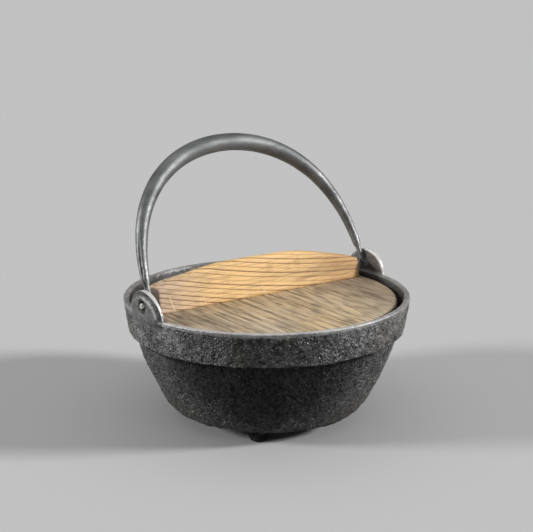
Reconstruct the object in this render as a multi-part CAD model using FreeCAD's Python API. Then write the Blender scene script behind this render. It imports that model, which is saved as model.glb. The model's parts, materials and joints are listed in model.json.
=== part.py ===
"""Cast iron hearth pot with a swinging bail and a wooden drop-in lid, in millimetres.

The pot stands on three stub feet at Z = 0, with its axis on Z. The ears lie on the X axis and the bail
swings about the line through their holes. The bail leans towards +Y.
"""

import FreeCAD
import Part

import math
import os

from FreeCAD import Vector

# Pot casting
RIM_RADIUS = 110.0
RIM_HEIGHT = 96.0
RIM_WALL = 4.9
LIP_BAND = 3.0
LIP_ROUND = 2.0
LIP_OVERHANG = 0.8
COLLAR_DEPTH = 25.4
COLLAR_FOOT_INSET = 2.9
COLLAR_STEP = 4.8
BOWL_WALL = 4.5
BOWL_LEAN = 13.3
BOWL_SIDE_RADIUS = 205.0
BOWL_CORNER_RADIUS = 16.0
BASE_CLEARANCE = 8.0
EDGE_BREAK = 0.9
LIP_FACET_COUNT = 2
SIDE_FACET_COUNT = 2
CORNER_FACET_COUNT = 3
INSIDE_SIDE_FACET_COUNT = 2
INSIDE_CORNER_FACET_COUNT = 3

# Stub feet, cast on the base
FOOT_COUNT = 3
FOOT_INSET = 4.1
FOOT_FIRST_ANGLE = -134.0
FOOT_RADIUS = 6.3
FOOT_SPREAD = 1.7
FOOT_EDGE_BREAK = 0.8

# Ears, cast with the rim
EAR_HALF_WIDTH = 21.6
EAR_HEIGHT = 18.4
EAR_ROOT_DEPTH = 17.0
EAR_UPRIGHT_DEPTH = 6.0
EAR_THICKNESS = 5.0
EAR_PROUD = 1.6
EAR_EDGE_BREAK = 1.0
EAR_HOLE_RADIUS = 2.75
EAR_DISH_RADIUS = 5.6
EAR_DISH_DEPTH = 0.9
PIVOT_RISE = 7.5

# Bail
BAIL_LEAN = 26.0
BAIL_HEIGHT = 114.7
BAIL_LEG_INSET = 3.4
BAIL_SPREAD = 2.8
BAIL_SHOULDER_HEIGHT = 84.0
BAIL_CROWN_REACH = 49.4
BAIL_CROWN_RADIUS = 6.9
BAIL_LEG_RADIUS = 2.5
BAIL_TAPER_POWER = 2.4
BAIL_SECTION_COUNT = 11
HOOK_RADIUS = 2.1
HOOK_BEND_RADIUS = 3.0
HOOK_NECK = 9.0
HOOK_TIP_PROUD = 0.4

# Lid
LID_GAP = 4.8
LID_THICKNESS = 12.0
LID_DEPTH = 3.6
LID_EDGE_BREAK = 1.2
LID_TURN = -2.8
SEAT_CLEARANCE = 2.5
BOARD_SEAM_OFFSET = 2.0

# Batten and its sliding dovetail
BATTEN_END_SETBACK = 5.5
BATTEN_SHIFT = 2.3
BATTEN_OFFSET = 10.5
BATTEN_HEIGHT = 29.0
BATTEN_NEAR_HEIGHT = 18.0
BATTEN_FAR_HEIGHT = 15.6
BATTEN_CROWN_LENGTH = 80.0
BATTEN_CROWN_SHIFT = -4.9
BATTEN_CROWN_ROUND = 150.0
BATTEN_END_ROUND = 4.0
BATTEN_BASE_WIDTH = 18.0
BATTEN_TOP_WIDTH = 8.0
BATTEN_EDGE_BREAK = 1.0
TONGUE_NECK_WIDTH = 9.0
TONGUE_FLARE = 1.2
TONGUE_DEPTH = 5.0
TONGUE_CLEARANCE = 0.1
TONGUE_SETBACK = 6.0

# Bamboo pegs in the board joint
PEG_RADIUS = 2.5
PEG_LENGTH = 36.0
PEG_EDGE_INSET = 25.3
PEG_COUNT = 4
PEG_CLEARANCE = 0.05
PEG_END_CLEARANCE = 0.8

# Sizes worked out from those above
COLLAR_TOP_RADIUS = RIM_RADIUS - LIP_OVERHANG
COLLAR_FOOT_RADIUS = COLLAR_TOP_RADIUS - COLLAR_FOOT_INSET
COLLAR_FOOT_Z = RIM_HEIGHT - COLLAR_DEPTH
BOWL_TOP_RADIUS = COLLAR_FOOT_RADIUS - COLLAR_STEP
RIM_INNER_RADIUS = RIM_RADIUS - RIM_WALL
LID_RADIUS = RIM_INNER_RADIUS - LID_GAP
LID_TOP_Z = RIM_HEIGHT - LID_DEPTH
SEAT_Z = LID_TOP_Z - LID_THICKNESS
SEAT_RADIUS = LID_RADIUS + SEAT_CLEARANCE
PIVOT_Z = RIM_HEIGHT + PIVOT_RISE
EAR_OUTER_RADIUS = RIM_RADIUS + EAR_PROUD
EAR_INNER_X = EAR_OUTER_RADIUS - EAR_THICKNESS
EAR_WIDEST_Z = RIM_HEIGHT - EAR_UPRIGHT_DEPTH / 2
BAIL_END_HALF_SPAN = EAR_INNER_X - BAIL_LEG_INSET
HOOK_TIP_X = EAR_OUTER_RADIUS + HOOK_TIP_PROUD
BATTEN_LENGTH = 2 * (LID_RADIUS - BATTEN_END_SETBACK)
PEG_PITCH = 2 * (LID_RADIUS - PEG_EDGE_INSET) / (PEG_COUNT - 1)
TONGUE_START_X = BATTEN_SHIFT - BATTEN_LENGTH / 2
TONGUE_END_X = BATTEN_SHIFT + BATTEN_LENGTH / 2 - TONGUE_SETBACK

# How closely two places must agree to count as one
MATCH_TOLERANCE = 1e-4

Z_AXIS = Vector(0, 0, 1)
X_AXIS = Vector(1, 0, 0)
ORIGIN = Vector(0, 0, 0)


def chain(points):
    """Return straight edges from each point to the next."""
    return [Part.makeLine(a, b) for a, b in zip(points, points[1:])]


def ring_edges(shape, radius, height):
    """Return the circular edges of a turned shape at one radius and height."""
    found = []
    for edge in shape.Edges:
        if not isinstance(edge.Curve, Part.Circle):
            continue
        same_radius = abs(edge.Curve.Radius - radius) < MATCH_TOLERANCE
        same_height = abs(edge.Curve.Center.z - height) < MATCH_TOLERANCE
        if same_radius and same_height:
            found.append(edge)
    return found


def on_circle(centre, radius, angle):
    """Return the point of a circle in the XZ plane at an angle below the horizontal, in radians."""
    return Vector(centre.x + radius * math.cos(angle), 0, centre.z - radius * math.sin(angle))


def arc_below(centre, radius, start, end, bands):
    """Return evenly spaced points of such a circle between two angles below the horizontal."""
    step = (end - start) / bands
    return [on_circle(centre, radius, start + step * index) for index in range(bands + 1)]


def bowl_side(wall, side_bands, corner_bands):
    """Return points down the bowl's side and round its corner, drawn in by a wall thickness."""
    lean = math.radians(BOWL_LEAN)
    top = Vector(BOWL_TOP_RADIUS, 0, COLLAR_FOOT_Z)
    side_centre = top + Vector(-math.cos(lean), 0, math.sin(lean)) * BOWL_SIDE_RADIUS
    reach = BOWL_SIDE_RADIUS - BOWL_CORNER_RADIUS
    turn = math.asin((side_centre.z - BASE_CLEARANCE - BOWL_CORNER_RADIUS) / reach)
    corner_centre = on_circle(side_centre, reach, turn)
    side = arc_below(side_centre, BOWL_SIDE_RADIUS - wall, lean, turn, side_bands)
    corner = arc_below(corner_centre, BOWL_CORNER_RADIUS - wall, turn, math.pi / 2, corner_bands)
    return side + corner[1:]


def turned_pot():
    """Return the bowl, collar, lip and lid seat, turned from one profile."""
    outside = bowl_side(0.0, SIDE_FACET_COUNT, CORNER_FACET_COUNT)
    inside = bowl_side(BOWL_WALL, INSIDE_SIDE_FACET_COUNT, INSIDE_CORNER_FACET_COUNT)
    lip_centre = Vector(RIM_RADIUS - LIP_ROUND, 0, RIM_HEIGHT - LIP_ROUND)
    lip = arc_below(lip_centre, LIP_ROUND, -math.pi / 2, 0.0, LIP_FACET_COUNT)
    lip_under_z = RIM_HEIGHT - LIP_BAND
    collar = [
        Vector(RIM_RADIUS, 0, lip_under_z),
        Vector(COLLAR_TOP_RADIUS, 0, lip_under_z - LIP_OVERHANG),
        Vector(COLLAR_FOOT_RADIUS, 0, COLLAR_FOOT_Z + EDGE_BREAK),
        Vector(COLLAR_FOOT_RADIUS - EDGE_BREAK, 0, COLLAR_FOOT_Z),
    ]
    axis = [Vector(0, 0, outside[-1].z), Vector(0, 0, inside[-1].z)]
    seat = [
        Vector(inside[0].x, 0, SEAT_Z),
        Vector(SEAT_RADIUS, 0, SEAT_Z),
        Vector(RIM_INNER_RADIUS, 0, RIM_HEIGHT - EDGE_BREAK),
        Vector(RIM_INNER_RADIUS + EDGE_BREAK, 0, RIM_HEIGHT),
    ]
    points = lip + collar + outside + axis + inside[::-1] + seat + lip[:1]
    profile = Part.Face(Part.Wire(chain(points)))
    return profile.revolve(ORIGIN, Z_AXIS, 360).Solids[0]


def middle_of(edge):
    """Return the point half way along an edge."""
    return edge.valueAt((edge.FirstParameter + edge.LastParameter) / 2)


def half_ellipse(half_width, height, centre, x):
    """Return one half ellipse in the plane X = x, from +Y to -Y, upwards or downwards."""
    middle = Vector(x, 0, centre)
    side = Vector(x, half_width, centre)
    tip = Vector(x, 0, centre + height)
    if half_width >= abs(height):
        ellipse = Part.Ellipse(side, tip, middle)
        return Part.Edge(ellipse, 0, math.pi)
    ellipse = Part.Ellipse(tip, side, middle)
    return Part.Edge(ellipse, -math.pi / 2, math.pi / 2)


def is_inner_outline(edge):
    """Tell whether an edge of the ear's prism is the upper outline of its inner face."""
    middle = middle_of(edge)
    return middle.z > RIM_HEIGHT and abs(middle.x - EAR_INNER_X) < MATCH_TOLERANCE


def ear_half(limit, height):
    """Return the +X ear's part above (or below) its widest level, cut from a prism by a turned limit.

    The inner edge is broken where it stands above the rim.
    """
    curve = half_ellipse(EAR_HALF_WIDTH, height, EAR_WIDEST_Z, EAR_INNER_X)
    first = curve.valueAt(curve.FirstParameter)
    last = curve.valueAt(curve.LastParameter)
    face = Part.Face(Part.Wire([curve, Part.makeLine(last, first)]))
    prism = face.extrude(X_AXIS * (EAR_THICKNESS * 2))
    if height > 0:
        inner = [edge for edge in prism.Edges if is_inner_outline(edge)]
        prism = prism.makeChamfer(EAR_EDGE_BREAK, inner)
    return prism.common(limit).Solids[0]


def ear_blank():
    """Return the +X ear before boring: an upright tab with a tail that runs out into the collar."""
    root_z = RIM_HEIGHT - EAR_ROOT_DEPTH
    top_z = RIM_HEIGHT + EAR_HEIGHT + EAR_EDGE_BREAK
    taper_at_root = COLLAR_FOOT_INSET * EAR_ROOT_DEPTH / COLLAR_DEPTH
    root_radius = COLLAR_TOP_RADIUS - taper_at_root - EDGE_BREAK
    limit_points = [
        Vector(0, 0, root_z),
        Vector(-root_radius, 0, root_z),
        Vector(-EAR_OUTER_RADIUS, 0, RIM_HEIGHT - EAR_UPRIGHT_DEPTH),
        Vector(-EAR_OUTER_RADIUS, 0, top_z),
        Vector(0, 0, top_z),
        Vector(0, 0, root_z),
    ]
    limit = Part.Face(Part.Wire(chain(limit_points))).revolve(ORIGIN, Z_AXIS, 360)
    tab = ear_half(limit, RIM_HEIGHT + EAR_HEIGHT - EAR_WIDEST_Z)
    tail = ear_half(limit, root_z - EAR_WIDEST_Z)
    return tab.fuse(tail).removeSplitter()


def ear_bore():
    """Return the cutter for the +X ear's hole, with the worn dish round its mouth."""
    length = EAR_THICKNESS * 3
    hole_start = Vector(EAR_INNER_X - EAR_THICKNESS, 0, PIVOT_Z)
    hole = Part.makeCylinder(EAR_HOLE_RADIUS, length, hole_start, X_AXIS)
    dish_start = Vector(EAR_OUTER_RADIUS - EAR_DISH_DEPTH, 0, PIVOT_Z)
    dish_depth = EAR_DISH_DEPTH * 2
    dish_growth = (EAR_DISH_RADIUS - EAR_HOLE_RADIUS) * 2
    dish = Part.makeCone(EAR_HOLE_RADIUS, EAR_HOLE_RADIUS + dish_growth, dish_depth, dish_start, X_AXIS)
    return hole.fuse(dish)


def foot(index):
    """Return one tapered stub foot, sunk into the base plate near its edge."""
    base_edge = bowl_side(0.0, SIDE_FACET_COUNT, CORNER_FACET_COUNT)[-1]
    height = BASE_CLEARANCE + BOWL_WALL / 2
    stub = Part.makeCone(FOOT_RADIUS, FOOT_RADIUS + FOOT_SPREAD, height)
    stub = stub.makeChamfer(FOOT_EDGE_BREAK, ring_edges(stub, FOOT_RADIUS, 0.0))
    stub.translate(Vector(base_edge.x - FOOT_INSET, 0, 0))
    stub.rotate(ORIGIN, Z_AXIS, FOOT_FIRST_ANGLE + index * 360.0 / FOOT_COUNT)
    return stub


def mirrored(shape):
    """Return a shape turned half round the Z axis, for the -X side."""
    copy = shape.copy()
    copy.rotate(ORIGIN, Z_AXIS, 180)
    return copy


def pot_body():
    """Return the whole casting."""
    ear = ear_blank()
    pot = turned_pot().fuse(ear).fuse(mirrored(ear))
    pot = pot.fuse([foot(index) for index in range(FOOT_COUNT)])
    bore = ear_bore()
    pot = pot.cut(bore).cut(mirrored(bore))
    return pot.removeSplitter()


def arch_point(share):
    """Return a point of the bail's centreline in its own plane, from the +X end (0) to the crown (1)."""
    poles = [
        Vector(BAIL_END_HALF_SPAN, 0, 0),
        Vector(BAIL_END_HALF_SPAN + BAIL_SPREAD, 0, BAIL_SHOULDER_HEIGHT),
        Vector(BAIL_CROWN_REACH, 0, BAIL_HEIGHT),
        Vector(0, 0, BAIL_HEIGHT),
    ]
    rest = 1.0 - share
    weights = [rest ** 3, 3 * share * rest ** 2, 3 * share ** 2 * rest, share ** 3]
    return sum((pole * weight for pole, weight in zip(poles, weights)), Vector(0, 0, 0))


def arch_radius(share):
    """Return the bar's radius at a share of the way from its end to the crown."""
    growth = 1.0 - (1.0 - share) ** BAIL_TAPER_POWER
    return BAIL_LEG_RADIUS + (BAIL_CROWN_RADIUS - BAIL_LEG_RADIUS) * growth


def share_at_height(height):
    """Return the share of the half arch at which the centreline is this far above the pivot."""
    low = 0.0
    high = 1.0
    while high - low > MATCH_TOLERANCE:
        middle = (low + high) / 2
        if arch_point(middle).z < height:
            low = middle
        else:
            high = middle
    return low


def ring(centre, direction, radius):
    """Return one round section as a wire, with its seam on the bail's +Y side."""
    circle = Part.Circle(centre, direction, radius)
    circle.XAxis = Vector(0, 1, 0)
    return Part.Wire(circle.toShape())


def bail_bar():
    """Return the tapered bar of the bail, from shoulder to shoulder, in an upright plane."""
    first = share_at_height(HOOK_NECK)
    sections = []
    for index in range(BAIL_SECTION_COUNT):
        share = first + (1.0 - first) * index / (BAIL_SECTION_COUNT - 1)
        centre = arch_point(share)
        direction = centre - arch_point(share - MATCH_TOLERANCE)
        sections.append((centre, direction, arch_radius(share)))
    half = [ring(*section) for section in sections]
    other = [
        ring(Vector(-centre.x, 0, centre.z), Vector(direction.x, 0, -direction.z), radius)
        for centre, direction, radius in sections[-2::-1]
    ]
    return Part.makeLoft(half + other, True, True)


def bail_hook():
    """Return the +X hook: a neck below the shoulder, a bend and the pin through the ear."""
    share = share_at_height(HOOK_NECK)
    top = arch_point(share)
    bend_top = Vector(BAIL_END_HALF_SPAN, 0, HOOK_BEND_RADIUS)
    bend_end = Vector(BAIL_END_HALF_SPAN + HOOK_BEND_RADIUS, 0, 0)
    turn = HOOK_BEND_RADIUS * (1.0 - math.sqrt(0.5))
    bend_middle = Vector(BAIL_END_HALF_SPAN + turn, 0, turn)
    pin_end = Vector(HOOK_TIP_X, 0, 0)
    path = Part.Wire([
        Part.makeLine(top, bend_top),
        Part.Arc(bend_top, bend_middle, bend_end).toShape(),
        Part.makeLine(bend_end, pin_end),
    ])
    return path.makePipeShell([ring(top, bend_top - top, HOOK_RADIUS)], True, False)


def bail_handle():
    """Return the forged bail, leaning as it stands in use."""
    hook = bail_hook()
    bail = bail_bar().fuse([hook, mirrored(hook)]).removeSplitter()
    bail.rotate(ORIGIN, X_AXIS, -BAIL_LEAN)
    bail.translate(Vector(0, 0, PIVOT_Z))
    return bail


def on_lid(shape):
    """Return a shape of the lid, drawn about the lid's top centre, turned and set in its seat."""
    placed = shape.copy()
    placed.rotate(ORIGIN, Z_AXIS, LID_TURN)
    placed.translate(Vector(0, 0, LID_TOP_Z))
    return placed


def tongue(clearance, start_x, end_x):
    """Return the dovetail tongue below the batten, or its groove with a clearance."""
    neck = TONGUE_NECK_WIDTH / 2 + clearance
    foot_half = neck + TONGUE_FLARE
    depth = TONGUE_DEPTH + clearance
    points = [
        Vector(start_x, BATTEN_OFFSET - neck, 0),
        Vector(start_x, BATTEN_OFFSET + neck, 0),
        Vector(start_x, BATTEN_OFFSET + foot_half, -depth),
        Vector(start_x, BATTEN_OFFSET - foot_half, -depth),
        Vector(start_x, BATTEN_OFFSET - neck, 0),
    ]
    return Part.Face(Part.Wire(chain(points))).extrude(X_AXIS * (end_x - start_x))


def batten_blank():
    """Return the batten's arched slab, with its crown and end corners eased."""
    crown_start = BATTEN_CROWN_SHIFT - BATTEN_CROWN_LENGTH / 2
    crown_end = BATTEN_CROWN_SHIFT + BATTEN_CROWN_LENGTH / 2
    start = -BATTEN_LENGTH / 2
    end = BATTEN_LENGTH / 2
    back = -BATTEN_BASE_WIDTH / 2
    points = [
        Vector(start, back, 0),
        Vector(start, back, BATTEN_NEAR_HEIGHT),
        Vector(crown_start, back, BATTEN_HEIGHT),
        Vector(crown_end, back, BATTEN_HEIGHT),
        Vector(end, back, BATTEN_FAR_HEIGHT),
        Vector(end, back, 0),
        Vector(start, back, 0),
    ]
    slab = Part.Face(Part.Wire(chain(points))).extrude(Vector(0, BATTEN_BASE_WIDTH, 0))
    rounds = [
        (crown_start, BATTEN_CROWN_ROUND),
        (crown_end, BATTEN_CROWN_ROUND),
        (start, BATTEN_END_ROUND),
        (end, BATTEN_END_ROUND),
    ]
    for x, radius in rounds:
        slab = slab.makeFillet(radius, cross_edges(slab, x))
    return slab


def cross_edges(slab, x):
    """Return the upper edges that cross a slab at one place along it."""
    found = []
    for edge in slab.Edges:
        first = edge.Vertexes[0].Point
        last = edge.Vertexes[-1].Point
        at_x = max(abs(first.x - x), abs(last.x - x)) < MATCH_TOLERANCE
        level = abs(first.z - last.z) < MATCH_TOLERANCE and first.z > BATTEN_EDGE_BREAK
        if at_x and level:
            found.append(edge)
    return found


def lid_batten():
    """Return the batten: a slab that narrows upwards, with its dovetail tongue."""
    half_base = BATTEN_BASE_WIDTH / 2
    half_top = BATTEN_TOP_WIDTH / 2
    start = -BATTEN_LENGTH / 2
    section = [
        Vector(start, -half_base, 0),
        Vector(start, half_base, 0),
        Vector(start, half_top, BATTEN_HEIGHT),
        Vector(start, -half_top, BATTEN_HEIGHT),
        Vector(start, -half_base, 0),
    ]
    wedge = Part.Face(Part.Wire(chain(section))).extrude(X_AXIS * BATTEN_LENGTH)
    batten = batten_blank().common(wedge).Solids[0]
    batten = batten.makeChamfer(BATTEN_EDGE_BREAK, top_edges(batten))
    batten.translate(Vector(BATTEN_SHIFT, BATTEN_OFFSET, 0))
    batten = batten.fuse(tongue(0.0, TONGUE_START_X, TONGUE_END_X)).removeSplitter()
    return on_lid(batten)


def top_edges(batten):
    """Return the long edges between the batten's top and its sloping sides."""
    found = []
    for edge in batten.Edges:
        middle = middle_of(edge)
        span = abs(edge.Vertexes[0].Point.x - edge.Vertexes[-1].Point.x)
        if middle.z > BATTEN_END_ROUND and span > BATTEN_EDGE_BREAK:
            found.append(edge)
    return found


def peg(index, radius, length):
    """Return one peg, or its bore, drawn across the board seam."""
    y = (index - (PEG_COUNT - 1) / 2) * PEG_PITCH
    start = Vector(BOARD_SEAM_OFFSET - length / 2, y, -LID_THICKNESS / 2)
    return Part.makeCylinder(radius, length, start, X_AXIS)


def lid_disc():
    """Return the whole lid disc with the batten's groove and the peg bores, before it is split."""
    disc = Part.makeCylinder(LID_RADIUS, LID_THICKNESS, Vector(0, 0, -LID_THICKNESS))
    rims = ring_edges(disc, LID_RADIUS, 0.0) + ring_edges(disc, LID_RADIUS, -LID_THICKNESS)
    disc = disc.makeChamfer(LID_EDGE_BREAK, rims)
    groove_end = TONGUE_END_X + TONGUE_CLEARANCE
    disc = disc.cut(tongue(TONGUE_CLEARANCE, -LID_RADIUS - LID_EDGE_BREAK, groove_end))
    bore_radius = PEG_RADIUS + PEG_CLEARANCE
    bore_length = PEG_LENGTH + 2 * PEG_END_CLEARANCE
    return disc.cut([peg(index, bore_radius, bore_length) for index in range(PEG_COUNT)])


def lid_boards():
    """Return the lid's left and right boards, split along the seam."""
    disc = lid_disc()
    size = 2 * LID_RADIUS
    corner = Vector(BOARD_SEAM_OFFSET, -LID_RADIUS, -LID_THICKNESS)
    right_half = Part.makeBox(size, size, size, corner)
    left = disc.cut(right_half)
    right = disc.common(right_half)
    return on_lid(left), on_lid(right)


def lid_pegs():
    """Return the bamboo pegs by name."""
    pegs = {}
    for index in range(PEG_COUNT):
        pegs["lid_peg_%d" % (index + 1)] = on_lid(peg(index, PEG_RADIUS, PEG_LENGTH))
    return pegs


def main():
    """Build the pieces and write one file for each."""
    os.makedirs("parts", exist_ok=True)
    left, right = lid_boards()
    pieces = {
        "pot_body": pot_body(),
        "bail_handle": bail_handle(),
        "lid_board_left": left,
        "lid_board_right": right,
        "lid_batten": lid_batten(),
    }
    pieces.update(lid_pegs())
    for name, shape in pieces.items():
        solid = shape.Solids[0]
        print(name, len(shape.Solids), solid.isValid(), round(solid.Volume))
        solid.exportStep("parts/" + name + ".step")


main()
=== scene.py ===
"""Cast iron hearth pot with a swinging bail and a wooden drop-in lid, dressed for rendering.

Each sub-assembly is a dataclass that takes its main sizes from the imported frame, builds its mesh in place and
puts on its finish. Lengths are in metres, written as millimetres times MM.
"""

import json
import logging
import math
from dataclasses import dataclass, field
from enum import Enum
from typing import Callable, Optional, Sequence, Union

import bpy
import numpy as np
from mathutils import Matrix, Vector


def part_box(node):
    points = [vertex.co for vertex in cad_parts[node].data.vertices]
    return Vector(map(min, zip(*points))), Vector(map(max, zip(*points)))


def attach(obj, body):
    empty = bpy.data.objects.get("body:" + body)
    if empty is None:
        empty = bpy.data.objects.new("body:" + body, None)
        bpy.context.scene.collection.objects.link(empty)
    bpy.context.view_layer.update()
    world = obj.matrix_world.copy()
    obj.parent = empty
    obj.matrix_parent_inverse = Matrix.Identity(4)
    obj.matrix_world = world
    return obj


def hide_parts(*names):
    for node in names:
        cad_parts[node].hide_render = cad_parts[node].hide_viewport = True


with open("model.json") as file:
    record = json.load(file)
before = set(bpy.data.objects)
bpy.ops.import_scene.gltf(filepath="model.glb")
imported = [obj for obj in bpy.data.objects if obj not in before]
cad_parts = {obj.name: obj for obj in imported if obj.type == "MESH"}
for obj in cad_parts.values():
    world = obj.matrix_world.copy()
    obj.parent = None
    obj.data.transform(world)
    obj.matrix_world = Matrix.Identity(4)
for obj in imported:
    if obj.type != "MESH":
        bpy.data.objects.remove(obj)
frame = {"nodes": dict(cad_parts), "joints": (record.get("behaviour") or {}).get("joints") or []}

LOG = logging.getLogger("hearth_pot")
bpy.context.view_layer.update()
MM = 0.001
# The level direction from the pot towards the camera. Painted shade darkens the collar and the bowl most on
# this side, and the lip's painted highlight is strongest here.
FRONT = np.array([-0.62, -0.78, 0.0])

Colour = tuple[float, float, float]
Point = tuple[float, float]
Span = tuple[float, float]
Face = Callable[[np.ndarray, np.ndarray], np.ndarray]
Socket = bpy.types.NodeSocket
Feed = Union[Socket, float, int, bool, str, Sequence[float], bpy.types.ID]


class Side(Enum):
    """The two ends of the pivot line."""

    NEAR = -1.0
    FAR = 1.0


class Solve(Enum):
    """What a second solid does to a first."""

    JOIN = "UNION"
    CUT = "DIFFERENCE"


class Tree:
    """A shader or geometry node tree that is written one node at a time."""

    def __init__(self, tree: bpy.types.NodeTree) -> None:
        """Keep the tree that nodes are added to."""
        self.tree = tree

    def add(
        self, kind: str, feeds: Optional[dict[Union[str, int], Feed]] = None, **settings: object
    ) -> bpy.types.Node:
        """Add a node, set its properties and feed its inputs.

        Args:
            kind: the node's type name.
            feeds: a value or another node's output for each named or numbered input.
            settings: properties of the node.

        Returns:
            The new node.
        """
        node = self.tree.nodes.new(kind)
        for name, value in settings.items():
            setattr(node, name, value)
        for name, value in (feeds or {}).items():
            self.feed(node.inputs[name], value)
        return node

    def feed(self, socket: Socket, value: Feed) -> None:
        """Link an output to an input, or set the input's own value.

        Args:
            socket: the input.
            value: the output or the value that it gets.
        """
        if isinstance(value, bpy.types.NodeSocket):
            self.tree.links.new(value, socket)
            return
        if socket.type == "RGBA" and len(value) == 3:
            value = (*value, 1.0)
        socket.default_value = value

    def math(self, operation: str, first: Feed, second: Feed = 0.0) -> Socket:
        """Return the result of an operation on one or two numbers."""
        return self.add("ShaderNodeMath", {0: first, 1: second}, operation=operation).outputs[0]

    def plus(self, first: Feed, second: Feed) -> Socket:
        """Return the sum of two numbers."""
        return self.math("ADD", first, second)

    def minus(self, first: Feed, second: Feed) -> Socket:
        """Return the first number less the second."""
        return self.math("SUBTRACT", first, second)

    def times(self, first: Feed, second: Feed) -> Socket:
        """Return the product of two numbers."""
        return self.math("MULTIPLY", first, second)

    def dot(self, first: Socket, second: Sequence[float]) -> Socket:
        """Return how far a vector reaches along a direction."""
        node = self.add("ShaderNodeVectorMath", {0: first, 1: second}, operation="DOT_PRODUCT")
        return node.outputs["Value"]

    def scaled(self, position: Socket, factors: Sequence[float]) -> Socket:
        """Return a position with each axis multiplied by its own factor."""
        return self.add("ShaderNodeVectorMath", {0: position, 1: factors}, operation="MULTIPLY").outputs[0]

    def axis(self, position: Socket, name: str) -> Socket:
        """Return one coordinate of a position."""
        return self.add("ShaderNodeSeparateXYZ", {0: position}).outputs[name]

    def noise(
        self, position: Socket, size: float, detail: float = 2.0, rough: float = 0.5, twist: float = 0.0
    ) -> Socket:
        """Return smooth noise from 0 to 1 whose features have about the given size.

        Args:
            position: where the noise is read.
            size: the length of one feature.
            detail: how many finer octaves are added.
            rough: how strong those octaves are.
            twist: how far the features are drawn out and bent.

        Returns:
            The noise value.
        """
        feeds = {"Vector": position, "Scale": 1.0 / size, "Detail": detail, "Roughness": rough}
        return self.add("ShaderNodeTexNoise", {**feeds, "Distortion": twist}).outputs[0]

    def between(
        self, value: Feed, low: float, high: float, to_low: float = 0.0, to_high: float = 1.0
    ) -> Socket:
        """Return a value eased from one range into another, held at its ends.

        Args:
            value: the value to change.
            low: where the change starts.
            high: where it ends.
            to_low: the result at the start.
            to_high: the result at the end.

        Returns:
            The eased value.
        """
        feeds = {"Value": value, "From Min": low, "From Max": high, "To Min": to_low, "To Max": to_high}
        return self.add("ShaderNodeMapRange", feeds, interpolation_type="SMOOTHSTEP").outputs[0]


class Shader(Tree):
    """The node tree of one material with a single principled surface."""

    def __init__(self, name: str) -> None:
        """Start a material with a surface and its output.

        Args:
            name: the material's name.
        """
        self.material = bpy.data.materials.new(name)
        self.material.use_nodes = True
        super().__init__(self.material.node_tree)
        self.tree.nodes.clear()
        self.surface = self.add("ShaderNodeBsdfPrincipled")
        self.add("ShaderNodeOutputMaterial", {"Surface": self.surface.outputs[0]})
        self.position = self.add("ShaderNodeTexCoord").outputs["Object"]

    def set(self, **feeds: Feed) -> None:
        """Feed the surface's inputs, named with underscores for spaces."""
        for name, value in feeds.items():
            self.feed(self.surface.inputs[name.replace("_", " ")], value)

    def mix(self, share: Feed, first: Feed, second: Feed) -> Socket:
        """Return two colours mixed by a share of the second.

        Args:
            share: how much of the second colour shows.
            first: the colour underneath.
            second: the colour on top.

        Returns:
            The mixed colour.
        """
        node = self.add("ShaderNodeMix", data_type="RGBA")
        self.feed(node.inputs["Factor"], share)
        self.feed(node.inputs["A"], first)
        self.feed(node.inputs["B"], second)
        return node.outputs["Result"]

    def attribute(self, name: str) -> Socket:
        """Return a number stored on the mesh's points."""
        return self.add("ShaderNodeAttribute", attribute_name=name).outputs["Fac"]

    def bump(
        self, height: Socket, depth: float, share: Feed = 1.0, normal: Optional[Socket] = None
    ) -> Socket:
        """Return a normal roughened by a height from 0 to 1.

        Args:
            height: the height.
            depth: the real depth that a height of 1 stands for.
            share: how strongly it shows.
            normal: a normal that is already roughened.

        Returns:
            The new normal.
        """
        feeds = {"Height": height, "Distance": depth, "Strength": share}
        if normal is not None:
            feeds["Normal"] = normal
        return self.add("ShaderNodeBump", feeds).outputs[0]


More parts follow.
